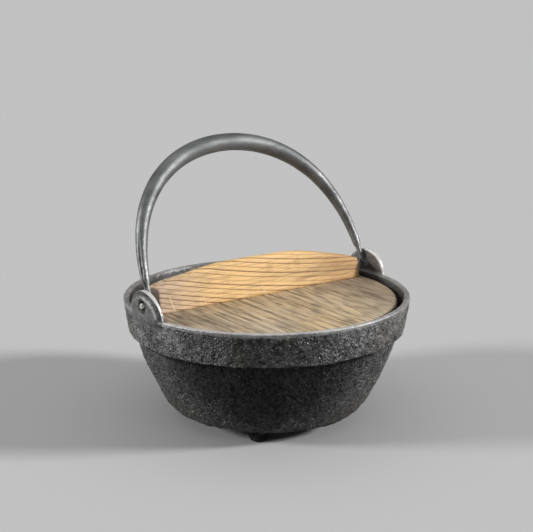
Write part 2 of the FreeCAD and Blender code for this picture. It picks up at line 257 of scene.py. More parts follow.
class Growth(Tree):
    """A geometry node tree with named inputs that is put on an object, evaluated and then removed."""

    def __init__(self, name: str) -> None:
        """Start a tree that takes a geometry and gives one back.

        Args:
            name: the tree's name.
        """
        super().__init__(bpy.data.node_groups.new(name, "GeometryNodeTree"))
        self.tree.interface.new_socket("Geometry", in_out="INPUT", socket_type="NodeSocketGeometry")
        self.tree.interface.new_socket("Geometry", in_out="OUTPUT", socket_type="NodeSocketGeometry")
        self.values: dict[str, Feed] = {}
        self.start = self.add("NodeGroupInput")
        self.geometry = self.start.outputs[0]
        self.position = self.add("GeometryNodeInputPosition").outputs[0]
        self.normal = self.add("GeometryNodeInputNormal").outputs[0]

    def input(self, name: str, value: Feed, kind: str = "NodeSocketFloat") -> Socket:
        """Declare a named input and remember its value.

        Args:
            name: the input's name.
            value: what it is set to on the object.
            kind: the socket's type name.

        Returns:
            The socket that gives the value inside the tree.
        """
        self.tree.interface.new_socket(name, in_out="INPUT", socket_type=kind)
        self.values[name] = value
        return self.start.outputs[name]

    def stored(self, name: str) -> Socket:
        """Return a number stored on the points under a name."""
        node = self.add("GeometryNodeInputNamedAttribute", {"Name": name}, data_type="FLOAT")
        return node.outputs["Attribute"]

    def push(self, geometry: Socket, depth: Socket) -> Socket:
        """Move a geometry's points along their normals.

        Args:
            geometry: the geometry.
            depth: how far each point moves.

        Returns:
            The moved geometry.
        """
        feeds = {0: self.normal, "Scale": depth}
        offset = self.add("ShaderNodeVectorMath", feeds, operation="SCALE").outputs[0]
        return self.add("GeometryNodeSetPosition", {"Geometry": geometry, "Offset": offset}).outputs[0]

    def keep(self, geometry: Socket, name: str, value: Socket) -> Socket:
        """Store a number on a geometry's points under a name.

        Args:
            geometry: the geometry.
            name: the name.
            value: the number.

        Returns:
            The geometry with the number on it.
        """
        feeds = {"Geometry": geometry, "Name": name, "Value": value}
        node = self.add("GeometryNodeStoreNamedAttribute", feeds, data_type="FLOAT", domain="POINT")
        return node.outputs[0]

    def finish(self, geometry: Socket, material: bpy.types.Material) -> None:
        """End the tree: real points, smooth shading and the material.

        Args:
            geometry: what the tree has made.
            material: the material that it gets.
        """
        slot = self.input("Material", material, "NodeSocketMaterial")
        real = self.add("GeometryNodeRealizeInstances", {"Geometry": geometry}).outputs[0]
        smooth = self.add("GeometryNodeSetShadeSmooth", {"Geometry": real}).outputs[0]
        dressed = self.add("GeometryNodeSetMaterial", {"Geometry": smooth, "Material": slot}).outputs[0]
        self.add("NodeGroupOutput", {0: dressed})

    def apply(self, obj: bpy.types.Object) -> None:
        """Put the tree on an object, set its inputs and keep the result as a plain mesh.

        Args:
            obj: the object whose mesh is replaced by the result.
        """
        modifier = obj.modifiers.new("growth", "NODES")
        modifier.node_group = self.tree
        for item in self.tree.interface.items_tree:
            if item.item_type == "SOCKET" and item.in_out == "INPUT" and item.name in self.values:
                modifier[item.identifier] = self.values[item.name]
        bake(obj)


def bake(obj: bpy.types.Object) -> None:
    """Replace an object's mesh by what its modifiers make of it, and remove them.

    Args:
        obj: the object with the modifiers.
    """
    bpy.context.view_layer.update()
    evaluated = obj.evaluated_get(bpy.context.evaluated_depsgraph_get())
    mesh = bpy.data.meshes.new_from_object(evaluated)
    mesh.name = obj.name
    obj.modifiers.clear()
    obj.data = mesh


def solid(
    name: str, points: np.ndarray, faces: Sequence[Sequence[int]], edges: Sequence[tuple[int, int]] = ()
) -> bpy.types.Object:
    """Return a new mesh object at the origin.

    Args:
        name: the object's name.
        points: one row of coordinates for each vertex.
        faces: the vertex numbers of each face, outwards.
        edges: the ends of each edge that belongs to no face.

    Returns:
        The object, linked to the scene.
    """
    mesh = bpy.data.meshes.new(name)
    mesh.from_pydata([tuple(point) for point in points], edges, faces)
    mesh.update()
    obj = bpy.data.objects.new(name, mesh)
    bpy.context.scene.collection.objects.link(obj)
    return obj


def combine(obj: bpy.types.Object, other: bpy.types.Object, how: Solve) -> None:
    """Join a second solid to the first or cut it away, and delete the second.

    Args:
        obj: the solid that is kept.
        other: the solid that is used up.
        how: whether it is joined or cut away.
    """
    modifier = obj.modifiers.new("combine", "BOOLEAN")
    modifier.operation = how.value
    modifier.solver = "MANIFOLD"
    modifier.object = other
    bake(obj)
    bpy.data.objects.remove(other)


def store(obj: bpy.types.Object, name: str, values: np.ndarray) -> None:
    """Store a number on each vertex under a name."""
    attribute = obj.data.attributes.new(name, "FLOAT", "POINT")
    attribute.data.foreach_set("value", np.asarray(values, dtype=np.float32))


def vertices(obj: bpy.types.Object) -> np.ndarray:
    """Return the vertex coordinates of an object.

    Args:
        obj: the object.

    Returns:
        One row for each vertex.
    """
    flat = np.empty(len(obj.data.vertices) * 3, dtype=np.float32)
    obj.data.vertices.foreach_get("co", flat)
    return flat.reshape(-1, 3).astype(float)


def eased(value: np.ndarray, low: float, high: float) -> np.ndarray:
    """Return a smooth step from 0 at low to 1 at high."""
    share = np.clip((value - low) / (high - low), 0.0, 1.0)
    return share * share * (3.0 - 2.0 * share)


def loop_strip(first: Sequence[int], second: Sequence[int], flip: bool = False) -> list[tuple[int, ...]]:
    """Return the faces between two closed rings of the same count, or where one has twice the other's.

    Args:
        first: the vertex numbers of the first ring.
        second: the vertex numbers of the second ring; a single number makes a fan.
        flip: whether the faces are turned over.

    Returns:
        The faces.
    """
    count = len(first)
    other = len(second)
    faces: list[tuple[int, ...]] = []
    if other > count:
        return loop_strip(second, first, not flip)
    for index in range(count):
        here = first[index]
        following = first[(index + 1) % count]
        if other == count:
            faces.append((here, following, second[(index + 1) % count], second[index]))
        elif other == 1:
            faces.append((here, following, second[0]))
        elif index % 2 == 0:
            faces.append((here, following, second[index // 2]))
        else:
            ahead = second[(index // 2 + 1) % other]
            faces.append((here, following, ahead))
            faces.append((here, ahead, second[index // 2]))
    return [face[::-1] for face in faces] if flip else faces


def turned(name: str, profile: Sequence[Point], counts: Sequence[int]) -> bpy.types.Object:
    """Return a solid of revolution about Z.

    Args:
        name: the object's name.
        profile: radius and height of each ring, with the solid on the left of the way along it.
        counts: how many points each ring has; 1 stands for a point on the axis.

    Returns:
        The solid.
    """
    points: list[tuple[float, float, float]] = []
    rings: list[list[int]] = []
    for (radius, height), count in zip(profile, counts):
        rings.append(list(range(len(points), len(points) + count)))
        for index in range(count):
            angle = 2.0 * math.pi * index / count
            points.append((radius * math.cos(angle), radius * math.sin(angle), height))
    faces: list[tuple[int, ...]] = []
    for below, above in zip(rings, rings[1:]):
        faces.extend(loop_strip(below, above))
    return solid(name, np.array(points), faces)


@dataclass(frozen=True)
class Corner:
    """One corner of a profile, with its rounding and the spacing of points on the way to the next."""

    radius: float
    height: float
    rounding: float = 0.0
    spacing: float = 1.1 * MM

    def at(self) -> np.ndarray:
        """Return the corner's place in the profile."""
        return np.array([self.radius, self.height])


def rounded(corners: Sequence[Corner]) -> list[Point]:
    """Return a profile through its corners, with each corner rounded and the straights divided.

    Args:
        corners: the corners in order.

    Returns:
        The points of the profile.
    """
    arc_steps = 5
    most_reach = 0.48
    bends: list[list[np.ndarray]] = []
    for before, corner, after in zip([corners[0], *corners], corners, [*corners[1:], corners[-1]]):
        place = corner.at()
        if corner.rounding == 0.0:
            bends.append([place])
            continue
        into = before.at() - place
        out = after.at() - place
        into_length = np.linalg.norm(into)
        out_length = np.linalg.norm(out)
        reach = min(corner.rounding, most_reach * into_length, most_reach * out_length)
        start = place + into / into_length * reach
        end = place + out / out_length * reach
        bend: list[np.ndarray] = []
        for step in range(arc_steps + 1):
            share = step / arc_steps
            bend.append(start * (1 - share) ** 2 + place * 2 * share * (1 - share) + end * share ** 2)
        bends.append(bend)
    points: list[Point] = []
    for bend, corner, following in zip(bends, corners, [*bends[1:], None]):
        points.extend((float(place[0]), float(place[1])) for place in bend)
        if following is None:
            continue
        gap = following[0] - bend[-1]
        pieces = max(1, round(float(np.linalg.norm(gap)) / corner.spacing))
        for index in range(1, pieces):
            place = bend[-1] + gap * index / pieces
            points.append((float(place[0]), float(place[1])))
    return points


@dataclass(frozen=True)
class CastIron:
    """Rough sand-cast iron: darkened by use and by painted shade, worn bright where hands rub it, with painted
    highlights.

    A dent's width counts in grains and a stain's in patches. A span is the part of a noise over which one
    look eases into the next.
    """

    dark: Colour = (0.008, 0.008, 0.009)
    pit_dirt_and_shade: Colour = (0.030, 0.030, 0.030)
    middle: Colour = (0.050, 0.050, 0.051)
    pale: Colour = (0.212, 0.212, 0.207)
    brown: Colour = (0.075, 0.055, 0.036)
    bright: Colour = (0.58, 0.57, 0.55)
    grain: float = 2.4 * MM
    grain_depth: float = 3.3 * MM
    grain_twist: float = 1.3
    dent_width: float = 3.2
    dent_depth: float = 5.8 * MM
    dent_twist: float = 1.2
    patch: float = 26.0 * MM
    patch_span: Span = (0.3, 0.7)
    relief_span: Span = (0.36, 0.60)
    stain_width: float = 1.7
    rust_share: float = 0.4
    rust_heights: Span = (4.0 * MM, 50.0 * MM)
    smoke_and_shade_span: Span = (0.30, 1.0)
    most_soot_and_shade: float = 0.92
    scuff_and_highlight_span: Span = (0.50, 1.3)
    scuff_and_highlight_metal: float = 0.3
    roughness: Span = (0.34, 0.47)

    def relief(self, shade: Shader, grains: Socket) -> Socket:
        """Return the height of the cast skin, from its lumps and grains, and higher where it is smooth.

        Args:
            shade: the shader tree.
            grains: the noise of the grains.

        Returns:
            The height, about 0 to 1.
        """
        lumps = shade.times(shade.attribute("lumps"), 0.4)
        smooth = shade.between(shade.attribute("skin"), 0.2, 1.0, 0.10, 0.0)
        return shade.plus(shade.plus(lumps, shade.times(grains, 0.6)), smooth)

    def rust(self, shade: Shader) -> Socket:
        """Return how brown the iron is: in stains, and towards the feet.

        Args:
            shade: the shader tree.

        Returns:
            The share of brown.
        """
        stain = shade.noise(shade.position, self.stain_width * self.patch, 5.0, 0.62)
        stained = shade.times(shade.between(stain, 0.50, 0.66), self.rust_share)
        height = shade.axis(shade.position, "Z")
        return shade.plus(stained, shade.between(height, *self.rust_heights, self.rust_share, 0.0))

    def material(self) -> bpy.types.Material:
        """Make the finish.

        Returns:
            The material.
        """
        shade = Shader("cast_iron")
        skin = shade.attribute("skin")
        patches = shade.noise(shade.position, self.patch, 4.0, 0.6)
        grains = shade.noise(shade.position, self.grain, 1.0, 0.5, self.grain_twist)
        dents = shade.noise(shade.position, self.dent_width * self.grain, 2.0, 0.55, self.dent_twist)
        relief = self.relief(shade, grains)
        smoother = shade.between(skin, 0.15, 0.8, 0.12, 0.0)
        raised = shade.between(shade.plus(relief, smoother), *self.relief_span)
        colour = shade.mix(shade.between(patches, *self.patch_span), self.middle, self.pale)
        # Low places of the skin take the pit colour: dirt in the hollows, and painted shade there.
        colour = shade.mix(raised, self.pit_dirt_and_shade, colour)
        colour = shade.mix(self.rust(shade), colour, self.brown)
        # Soot and painted shade: the stored zones darken the iron towards the dark colour and dull its sheen.
        smoke_and_shade = shade.plus(shade.attribute("soot"), shade.times(patches, 0.5))
        sooted_and_shaded = shade.between(smoke_and_shade, *self.smoke_and_shade_span, 0.0, self.most_soot_and_shade)
        colour = shade.mix(sooted_and_shaded, colour, self.dark)
        # Wear and painted highlight: the stored zones and the raised skin brighten the iron towards the bright
        # colour.
        rubbed = shade.plus(shade.attribute("wear"), shade.times(relief, 0.8))
        scuff_and_highlight = shade.between(rubbed, *self.scuff_and_highlight_span)
        colour = shade.mix(scuff_and_highlight, colour, self.bright)
        rough = shade.between(patches, *self.patch_span, *self.roughness)
        sheen = shade.between(relief, *self.relief_span, 0.25, 1.0)
        free_of_soot_and_shade = shade.between(sooted_and_shaded, 0.5, 0.95, 1.0, 0.1)
        uneven = shade.times(skin, shade.between(patches, 0.35, 0.6, 1.0, 0.55))
        normal = shade.bump(dents, self.dent_depth, uneven)
        normal = shade.bump(grains, self.grain_depth, uneven, normal)
        shade.set(Base_Color=colour, Roughness=rough, Metallic=shade.times(scuff_and_highlight, self.scuff_and_highlight_metal))
        shade.set(Specular_IOR_Level=shade.times(sheen, free_of_soot_and_shade), Normal=normal)
        return shade.material


@dataclass(frozen=True)
class ForgedIron:
    """The bail's satin forged bar, dull grey with darker pits along its seam."""

    light: Colour = (0.185, 0.188, 0.188)
    dark: Colour = (0.105, 0.107, 0.108)
    bare: Colour = (0.52, 0.52, 0.50)
    seam: Colour = (0.025, 0.024, 0.022)
    mottle: float = 14.0 * MM
    mottle_stretch: tuple[float, float, float] = (0.35, 1.0, 1.0)
    grain: float = 1.1 * MM
    grain_depth: float = 0.45 * MM
    roughness: Span = (0.62, 0.52)
    leg_polish: float = 0.16
    metal: float = 0.75

    def material(self) -> bpy.types.Material:
        """Make the finish.

        Returns:
            The material.
        """
        shade = Shader("forged_iron")
        stretched = shade.scaled(shade.position, self.mottle_stretch)
        mottle = shade.noise(stretched, self.mottle, 4.0, 0.6)
        grains = shade.noise(shade.position, self.grain, 3.0, 0.6)
        colour = shade.mix(shade.between(mottle, 0.32, 0.66), self.dark, self.light)
        pits = shade.between(grains, 0.28, 0.42, 0.35, 0.0)
        colour = shade.mix(pits, colour, self.dark)
        colour = shade.mix(shade.times(shade.attribute("seam"), 0.85), colour, self.seam)
        rubbed = shade.plus(shade.attribute("worn"), shade.times(grains, 0.4))
        colour = shade.mix(shade.between(rubbed, 0.4, 1.1), colour, self.bare)
        from_crown = shade.math("ABSOLUTE", shade.attribute("along"))
        polish = shade.between(from_crown, 0.2, 0.6, 0.0, self.leg_polish)
        rough = shade.minus(shade.between(mottle, 0.3, 0.7, *self.roughness), polish)
        shade.set(Base_Color=colour, Roughness=rough, Metallic=self.metal)
        shade.set(Normal=shade.bump(grains, self.grain_depth, 0.8))
        return shade.material


@dataclass(frozen=True)
class Rings:
    """Growth rings in the lid's wood: where the pith lies and how the rings run past it.

    The two directions give the distances whose length is the way to the pith, for a position in the lid's own
    axes.
    """

    across: tuple[float, float, float]
    upward: tuple[float, float, float]
    across_start: float
    upward_start: float
    spacing: float
    warp: float
    sharpness: float
    fibre: tuple[float, float, float]
    turn: float
    fibre_size: float = 1.3 * MM
    waviness: float = 42.0 * MM
    ring_variety: float = 0.83

    def aligned(self, tree: Tree, position: Socket) -> Socket:
        """Return a position turned into the lid's own axes."""
        feeds = {"Vector": position, "Angle": -self.turn}
        return tree.add("ShaderNodeVectorRotate", feeds, rotation_type="Z_AXIS").outputs[0]

    def late_wood(self, tree: Tree, position: Socket) -> Socket:
        """Return how dark each ring is, rising slowly and dropping at once, from 0 to 1.

        Args:
            tree: the shader or geometry tree that the nodes go in.
            position: the position in the lid's axes.

        Returns:
            The darkness of the late wood.
        """
        first = tree.plus(tree.dot(position, self.across), self.across_start)
        second = tree.plus(tree.dot(position, self.upward), self.upward_start)
        square = tree.plus(tree.times(first, first), tree.times(second, second))
        waves = tree.noise(tree.scaled(position, self.fibre), self.waviness, 3.0, 0.5)
        warp = tree.times(tree.minus(waves, 0.5), self.warp)
        count = tree.math("DIVIDE", tree.plus(tree.math("SQRT", square), warp), self.spacing)
        share = tree.math("FRACT", count)
        rise = tree.math("POWER", share, self.sharpness)
        edge = tree.times(rise, tree.between(share, 0.92, 1.0, 1.0, 0.0))
        feeds = {"W": tree.math("FLOOR", count), "Scale": self.ring_variety, "Detail": 0.0}
        strength = tree.add("ShaderNodeTexNoise", feeds, noise_dimensions="1D").outputs[0]
        return tree.between(tree.times(edge, tree.between(strength, 0.25, 0.7, 0.55, 1.0)), 0.12, 0.62)

    def fibres(self, tree: Tree, position: Socket) -> Socket:
        """Return fine streaks along the grain, from 0 to 1."""
        return tree.noise(tree.scaled(position, self.fibre), self.fibre_size, 3.0, 0.6)


@dataclass(frozen=True)
class Timber:
    """Dry softwood, worn by hands: rings, fibres, stains and a greyed surface, with a painted shadow towards
    its near end and dark cut ends, deepened on the batten by painted shade.
    """

    name: str
    rings: Rings
    early: Colour
    late: Colour
    stain: Colour
    grey: Colour
    end_grain_and_shade: Colour
    greying: float
    contrast: float
    staining: float
    streaking: float
    blotting: float
    scratching: float
    # The near end's tint is a painted shadow; the far end's tint only darkens that end.
    ends: tuple[Colour, Colour]
    near_end: Span = (-100.0 * MM, -35.0 * MM)
    far_end: Span = (25.0 * MM, 80.0 * MM)
    faded_front: Span = (-80.0 * MM, -5.0 * MM)
    faded_size: float = 38.0 * MM
    stain_size: float = 5.0 * MM
    blot_size: float = 13.0 * MM
    fleck_size: float = 0.8 * MM
    scratch_size: float = 2.6 * MM
    hollow_size: float = 7.0 * MM
    fibre_depth: float = 0.22 * MM
    roughness: Span = (0.58, 0.74)

    def scratches(self, shade: Shader, place: Socket) -> Socket:
        """Return where light scratches lie across the grain.

        Args:
            shade: the shader tree.
            place: the position in the lid's axes.

        Returns:
            The share of scratch, from 0 to 1.
        """
        feeds = {"Vector": place, "Axis": (0.3, 1.0, 0.2), "Angle": 0.35}
        tilted = shade.add("ShaderNodeVectorRotate", feeds, rotation_type="AXIS_ANGLE").outputs[0]
        strokes = shade.noise(shade.scaled(tilted, (1.0, 0.12, 0.10)), self.scratch_size, 1.0)
        return shade.between(strokes, 0.715, 0.75)

    def cut_ends(self, shade: Shader) -> Socket:
        """Return where the surface cuts across the fibres.

        Args:
            shade: the shader tree.

        Returns:
            The share of end grain, from 0 to 1.
        """
        lengthwise = [1.0 if scale == min(self.rings.fibre) else 0.0 for scale in self.rings.fibre]
        outward = self.rings.aligned(shade, shade.add("ShaderNodeTexCoord").outputs["Normal"])
        return shade.between(shade.math("ABSOLUTE", shade.dot(outward, lengthwise)), 0.6, 0.9)

    def material(self) -> bpy.types.Material:
        """Make the finish in layers, from the bare early wood up.

        Returns:
            The material.
        """
        shade = Shader(self.name)
        place = self.rings.aligned(shade, shade.position)
        along = shade.scaled(place, self.rings.fibre)
        from_middle = shade.axis(place, "X")
        from_front = shade.axis(place, "Y")
        fibres = self.rings.fibres(shade, place)
        worn = shade.between(shade.noise(place, self.faded_size, 4.0, 0.55), 0.35, 0.65)
        faded = shade.times(worn, shade.between(from_front, *self.faded_front, 1.0, 0.3))
        stains = shade.between(shade.noise(along, self.stain_size, 4.0, 0.65), 0.52, 0.70)
        blots = shade.noise(shade.scaled(place, (1.0, 0.4, 1.0)), self.blot_size, 4.0, 0.6)
        flecks = shade.between(shade.noise(along, self.fleck_size, 2.0, 0.6), 0.60, 0.72)
        near, far = self.ends
        layers = (
            (faded, self.greying, self.grey),
            # Painted shadow towards the near end, where the near ear and the bail shade the lid.
            (shade.between(from_middle, *self.near_end, 1.0, 0.0), 0.9, near),
            (shade.between(from_middle, *self.far_end), 0.85, far),
            (self.rings.late_wood(shade, place), self.contrast, self.late),
            (stains, self.staining, self.stain),
            (shade.between(blots, 0.50, 0.72), self.blotting, self.stain),
            (shade.between(fibres, 0.48, 0.64), self.streaking, self.stain),
            (flecks, 0.5, self.early),
            (self.scratches(shade, place), self.scratching, self.grey),
            # Dark cut ends; on the batten their colour is deepened as painted shade.
            (self.cut_ends(shade), 0.9, self.end_grain_and_shade),
        )
        colour: Feed = self.early
        for mask, share, tint in layers:
            colour = shade.mix(shade.times(mask, share), colour, tint)
        shade.set(Base_Color=colour, Roughness=shade.between(fibres, 0.3, 0.7, *self.roughness))
        shade.set(Normal=shade.bump(fibres, self.fibre_depth, 0.55))
        return shade.material

    def raise_grain(self, obj: bpy.types.Object, depth: float) -> None:
        """Wear the early wood of a piece down and give it this timber.

        Args:
            obj: the piece, in place.
            depth: how deep the early wood is worn.
        """
        growth = Growth("raised_grain_" + obj.name)
        full = growth.input("Depth", depth)
        place = self.rings.aligned(growth, growth.position)
        late = self.rings.late_wood(growth, place)
        waves = growth.noise(growth.scaled(place, self.rings.fibre), self.hollow_size, 2.0, 0.5)
        lowered = growth.minus(growth.times(late, 0.55), growth.plus(waves, 0.1))
        moved = growth.push(growth.geometry, growth.times(lowered, full))
        growth.finish(moved, self.material())
        growth.apply(obj)


@dataclass(frozen=True)
class Bamboo:
    """Split bamboo of the hidden pegs."""

    light: Colour = (0.52, 0.40, 0.22)
    dark: Colour = (0.36, 0.25, 0.12)
    fibre_size: float = 0.6 * MM

    def material(self) -> bpy.types.Material:
        """Make the finish.

        Returns:
            The material.
        """
        shade = Shader("bamboo")
        fibres = shade.noise(shade.scaled(shade.position, (0.03, 1.0, 1.0)), self.fibre_size, 2.0)
        colour = shade.mix(shade.between(fibres, 0.35, 0.65), self.light, self.dark)
        shade.set(Base_Color=colour, Roughness=0.5)
        return shade.material


@dataclass(frozen=True)
class WeatheringAndPaintedLight:
    """How much each zone of the casting is brightened by use and painted highlight, made sooty and darkened by
    painted shade, smoothed and sunk, by the zone's name.
    """

    # Wear and painted highlight: the collar's lower edge is a painted highlight; on the ears' edges and ridges
    # and on the lip's crest a painted highlight lies over the rubbing.
    worn: dict[str, float] = field(default_factory=lambda: {
        "edge": 1.0, "ridge": 0.34, "outer_face": 0.03, "lip": 0.08, "crest": 0.42, "collar_edge": 0.12})
    # Soot and painted shade: the bowl is sooty; the crease under the collar, the collar's and the bowl's side
    # towards the camera, the feet, the ear bores and the middle of the ears' inner faces are painted shade; the
    # inside, the ears' outer faces and the bevels are darkened.
    smoked_and_shaded: dict[str, float] = field(default_factory=lambda: {
        "bowl": 0.45, "bowl_front": 0.38, "collar_front": 0.54, "crease": 0.9, "inside": 0.5, "bevel": 0.10,
        "bore": 1.2, "inner_middle": 0.45, "ear_outside": 0.46, "feet": 0.25})
    smoothed: dict[str, float] = field(default_factory=lambda: {
        "ear": 0.75, "lip_beside_ears": 0.75, "inside": 0.85, "sole": 1.0, "inner_face": 0.7})
    sunk: dict[str, float] = field(default_factory=lambda: {
        "lip": 1.0, "ear": 1.0, "inside": 1.0, "collar": 0.1})


@dataclass
class PotCasting:
    """The pot: bowl, collar, lip and lid seat, with two bored ears and three stub feet in one casting."""

    rim_radius: float
    rim_height: float
    ear_radius: float
    ear_top: float
    pivot_height: float
    rim_wall: float = 4.9 * MM
    lip_band: float = 3.0 * MM
    lip_overhang: float = 0.8 * MM
    collar_depth: float = 25.4 * MM
    collar_inset: float = 2.9 * MM
    collar_step: float = 4.8 * MM
    wall: float = 4.5 * MM
    lean: float = math.radians(13.3)
    side_radius: float = 205.0 * MM
    corner_radius: float = 16.0 * MM
    base_height: float = 8.0 * MM
    seat_height: float = 80.4 * MM
    seat_radius: float = 102.8 * MM
    segments: int = 560
    outer_spacing: float = 1.15 * MM
    inner_spacing: float = 4.0 * MM
    foot_count: int = 3
    foot_first_angle: float = math.radians(-134.0)
    foot_inset: float = 4.1 * MM
    foot_radius: float = 6.3 * MM
    foot_spread: float = 1.7 * MM
    ear_rise: float = 18.4 * MM
    ear_half_width: float = 21.6 * MM
    ear_thickness: float = 5.0 * MM
    ear_root_depth: float = 17.0 * MM
    ear_upright_depth: float = 6.0 * MM
    ear_edge: float = 0.5 * MM
    ear_edge_thickness: float = 2.0 * MM
    ear_run_out: float = 0.30
    ear_bow: float = 0.3
    tail_sink: float = 1.0 * MM
    bevel_start: float = 0.76
    bevel_depth: float = 0.9 * MM
    ridge_height: float = 0.25 * MM
    ridge_width: float = 0.05
    hole_radius: float = 2.75 * MM
    dish_radius: float = 5.6 * MM
    dish_depth: float = 0.9 * MM
    lump_size: float = 3.6 * MM
    lump_depth: float = 2.3 * MM
    wave_size: float = 22.0 * MM
    wave_depth: float = 2.8 * MM
    weathering_and_painted_light: WeatheringAndPaintedLight = field(default_factory=WeatheringAndPaintedLight)
    finish: CastIron = field(default_factory=CastIron)

    @classmethod
    def from_frame(cls) -> "PotCasting":
        """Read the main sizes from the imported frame.

        Returns:
            The pot.
        """
        _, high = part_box("pot_body")
        pivot = next(joint for joint in frame["joints"] if joint["name"] == "bail_swing")
        return cls(
            rim_radius=high[1],
            rim_height=high[2] - cls.ear_rise,
            ear_radius=high[0],
            ear_top=high[2],
            pivot_height=pivot["pos_m"][2],
        )

    @property
    def collar_foot(self) -> float:
        """Return the height of the collar's lower edge."""
        return self.rim_height - self.collar_depth

    @property
    def bowl_top_radius(self) -> float:
        """Return the bowl's radius below the collar."""
        return self.rim_radius - self.lip_overhang - self.collar_inset - self.collar_step

    @property
    def ear_widest(self) -> float:
        """Return the height at which an ear is widest."""
        return self.rim_height - self.ear_upright_depth / 2

    @property
    def ear_root(self) -> float:
        """Return the height of an ear's lower end."""
        return self.rim_height - self.ear_root_depth

    def bowl_side(self, wall: float, spacing: float) -> list[Corner]:
        """Return the bowl's side from the base's edge up to the collar.

        Args:
            wall: how far the line is drawn in from the outside.
            spacing: how far apart its points are.

        Returns:
            The points, as corners without rounding.
        """
        side_x = self.bowl_top_radius - self.side_radius * math.cos(self.lean)
        side_z = self.collar_foot + self.side_radius * math.sin(self.lean)
        reach = self.side_radius - self.corner_radius
        turn = math.asin((side_z - self.base_height - self.corner_radius) / reach)
        corner_x = side_x + reach * math.cos(turn)
        corner_z = side_z - reach * math.sin(turn)
        points: list[Corner] = []
        arcs = [
            (corner_x, corner_z, self.corner_radius - wall, math.pi / 2, turn),
            (side_x, side_z, self.side_radius - wall, turn, self.lean),
        ]
        for centre_x, centre_z, radius, start, end in arcs:
            steps = max(3, round(abs(end - start) * radius / spacing))
            for index in range(steps):
                angle = start + (end - start) * index / steps
                x = centre_x + radius * math.cos(angle)
                points.append(Corner(x, centre_z - radius * math.sin(angle), spacing=spacing))
        top_x = side_x + (self.side_radius - wall) * math.cos(self.lean)
        top_z = side_z - (self.side_radius - wall) * math.sin(self.lean)
        points.append(Corner(top_x, top_z, 0.0, spacing))
        return points

    def profile(self) -> tuple[list[Point], list[int]]:
        """Draw the turned profile from the base's middle round to the inside's.

        Returns:
            The points, and how many points the ring through each has.
        """
        outside = self.bowl_side(0.0, self.outer_spacing)
        inside = self.bowl_side(self.wall, self.inner_spacing)
        collar_foot_radius = self.bowl_top_radius + self.collar_step
        collar_top_radius = self.rim_radius - self.lip_overhang
        lip_under = self.rim_height - self.lip_band
        inner_radius = self.rim_radius - self.rim_wall
        top = outside.pop()
        inside_top = inside.pop()
        outer = rounded([
            *outside,
            Corner(top.radius, self.collar_foot, 1.6 * MM),
            Corner(collar_foot_radius, self.collar_foot, 1.9 * MM),
            Corner(collar_top_radius, lip_under - self.lip_overhang, 1.4 * MM),
            Corner(self.rim_radius, lip_under, 1.0 * MM, 0.8 * MM),
            Corner(self.rim_radius, self.rim_height, 2.6 * MM, 0.8 * MM),
            Corner(inner_radius, self.rim_height, 1.9 * MM, 0.9 * MM),
            Corner(self.seat_radius, self.seat_height, 0.0, 1.5 * MM),
        ])
        inner = rounded([
            Corner(inside_top.radius, self.seat_height, 0.0, 3.0 * MM),
            *inside[::-1],
        ])
        full = self.segments
        points = [(share * outer[0][0], self.base_height) for share in (0.0, 0.35, 0.7, 0.9)]
        points += outer + inner
        points += [(share * inner[-1][0], inner[-1][1]) for share in (0.8, 0.4, 0.0)]
        counts = [1, full // 4, full // 2, full] + [full] * len(outer)
        counts += [full // 2] * len(inner) + [full // 2, full // 4, 1]
        return points, counts

    def ear_outside(self, y: np.ndarray, z: np.ndarray) -> np.ndarray:
        """Return an ear's outer face: a bevelled tab above the rim that runs out into the collar below it.

        Args:
            y: places across the ear.
            z: heights.

        Returns:
            How far out the face lies at each place.
        """
        rim = self.rim_height
        lip = self.lip_band + self.lip_overhang
        collar_top = self.rim_radius - self.lip_overhang
        taper = self.collar_inset / (self.collar_depth - self.lip_band - self.lip_overhang)
        collar = collar_top - taper * np.clip(rim - z - lip, 0.0, None)
        across = np.abs(y) / self.ear_half_width
        share = np.clip((z - self.ear_root) / self.ear_root_depth, 0.0, 1.0)
        proud = (self.ear_radius - collar_top) * share * (1.0 - self.ear_bow * across ** 2)
        lower = np.clip(self.ear_widest - z, 0.0, None) / (self.ear_widest - self.ear_root)
        upper = np.clip(z - self.ear_widest, 0.0, None) / (self.ear_top - self.ear_widest)
        tab = eased(z, rim - 1.5 * MM, rim + 1.0 * MM)
        sunk = eased(np.hypot(across, lower), 0.55, 1.0) * (1.0 - tab)
        past_ridge = np.hypot(across, upper) - self.bevel_start
        bevel = self.bevel_depth * np.clip(past_ridge / (1.0 - self.bevel_start), 0.0, 1.0)
        ridge = self.ridge_height * np.exp(-((past_ridge / self.ridge_width) ** 2))
        radius = collar + proud * (1.0 - sunk) - self.tail_sink * sunk + (ridge - bevel) * tab
        return np.sqrt(radius ** 2 - y ** 2)

    def ear_inside(self, y: np.ndarray, z: np.ndarray) -> np.ndarray:
        """Return an ear's inner face: flat, and drawn in where the rear shoulder runs out along the rim."""
        flat = self.ear_radius - self.ear_thickness
        return np.minimum(flat, self.ear_outside(y, z) - self.ear_edge_thickness)

    def ear(self, side: Side) -> bpy.types.Object:
        """Return one ear: a rounded tab whose tail runs out into the collar.

        Args:
            side: which end of the pivot line it stands at.

        Returns:
            The solid, reaching into the rim.
        """
        around = 128
        outer_rows = 34
        inner_rows = 10
        angles = np.arange(around) * 2.0 * math.pi / around
        cosines = np.cos(angles)
        sines = np.sin(angles)
        reach = np.where(sines > 0.0, self.ear_top - self.ear_widest, self.ear_widest - self.ear_root)
        run_out = self.ear_run_out * (1.0 - np.clip(sines, 0.0, 1.0)) ** 3
        widening = 1.0 + np.where(side.value * cosines > 0.0, run_out, 0.0)

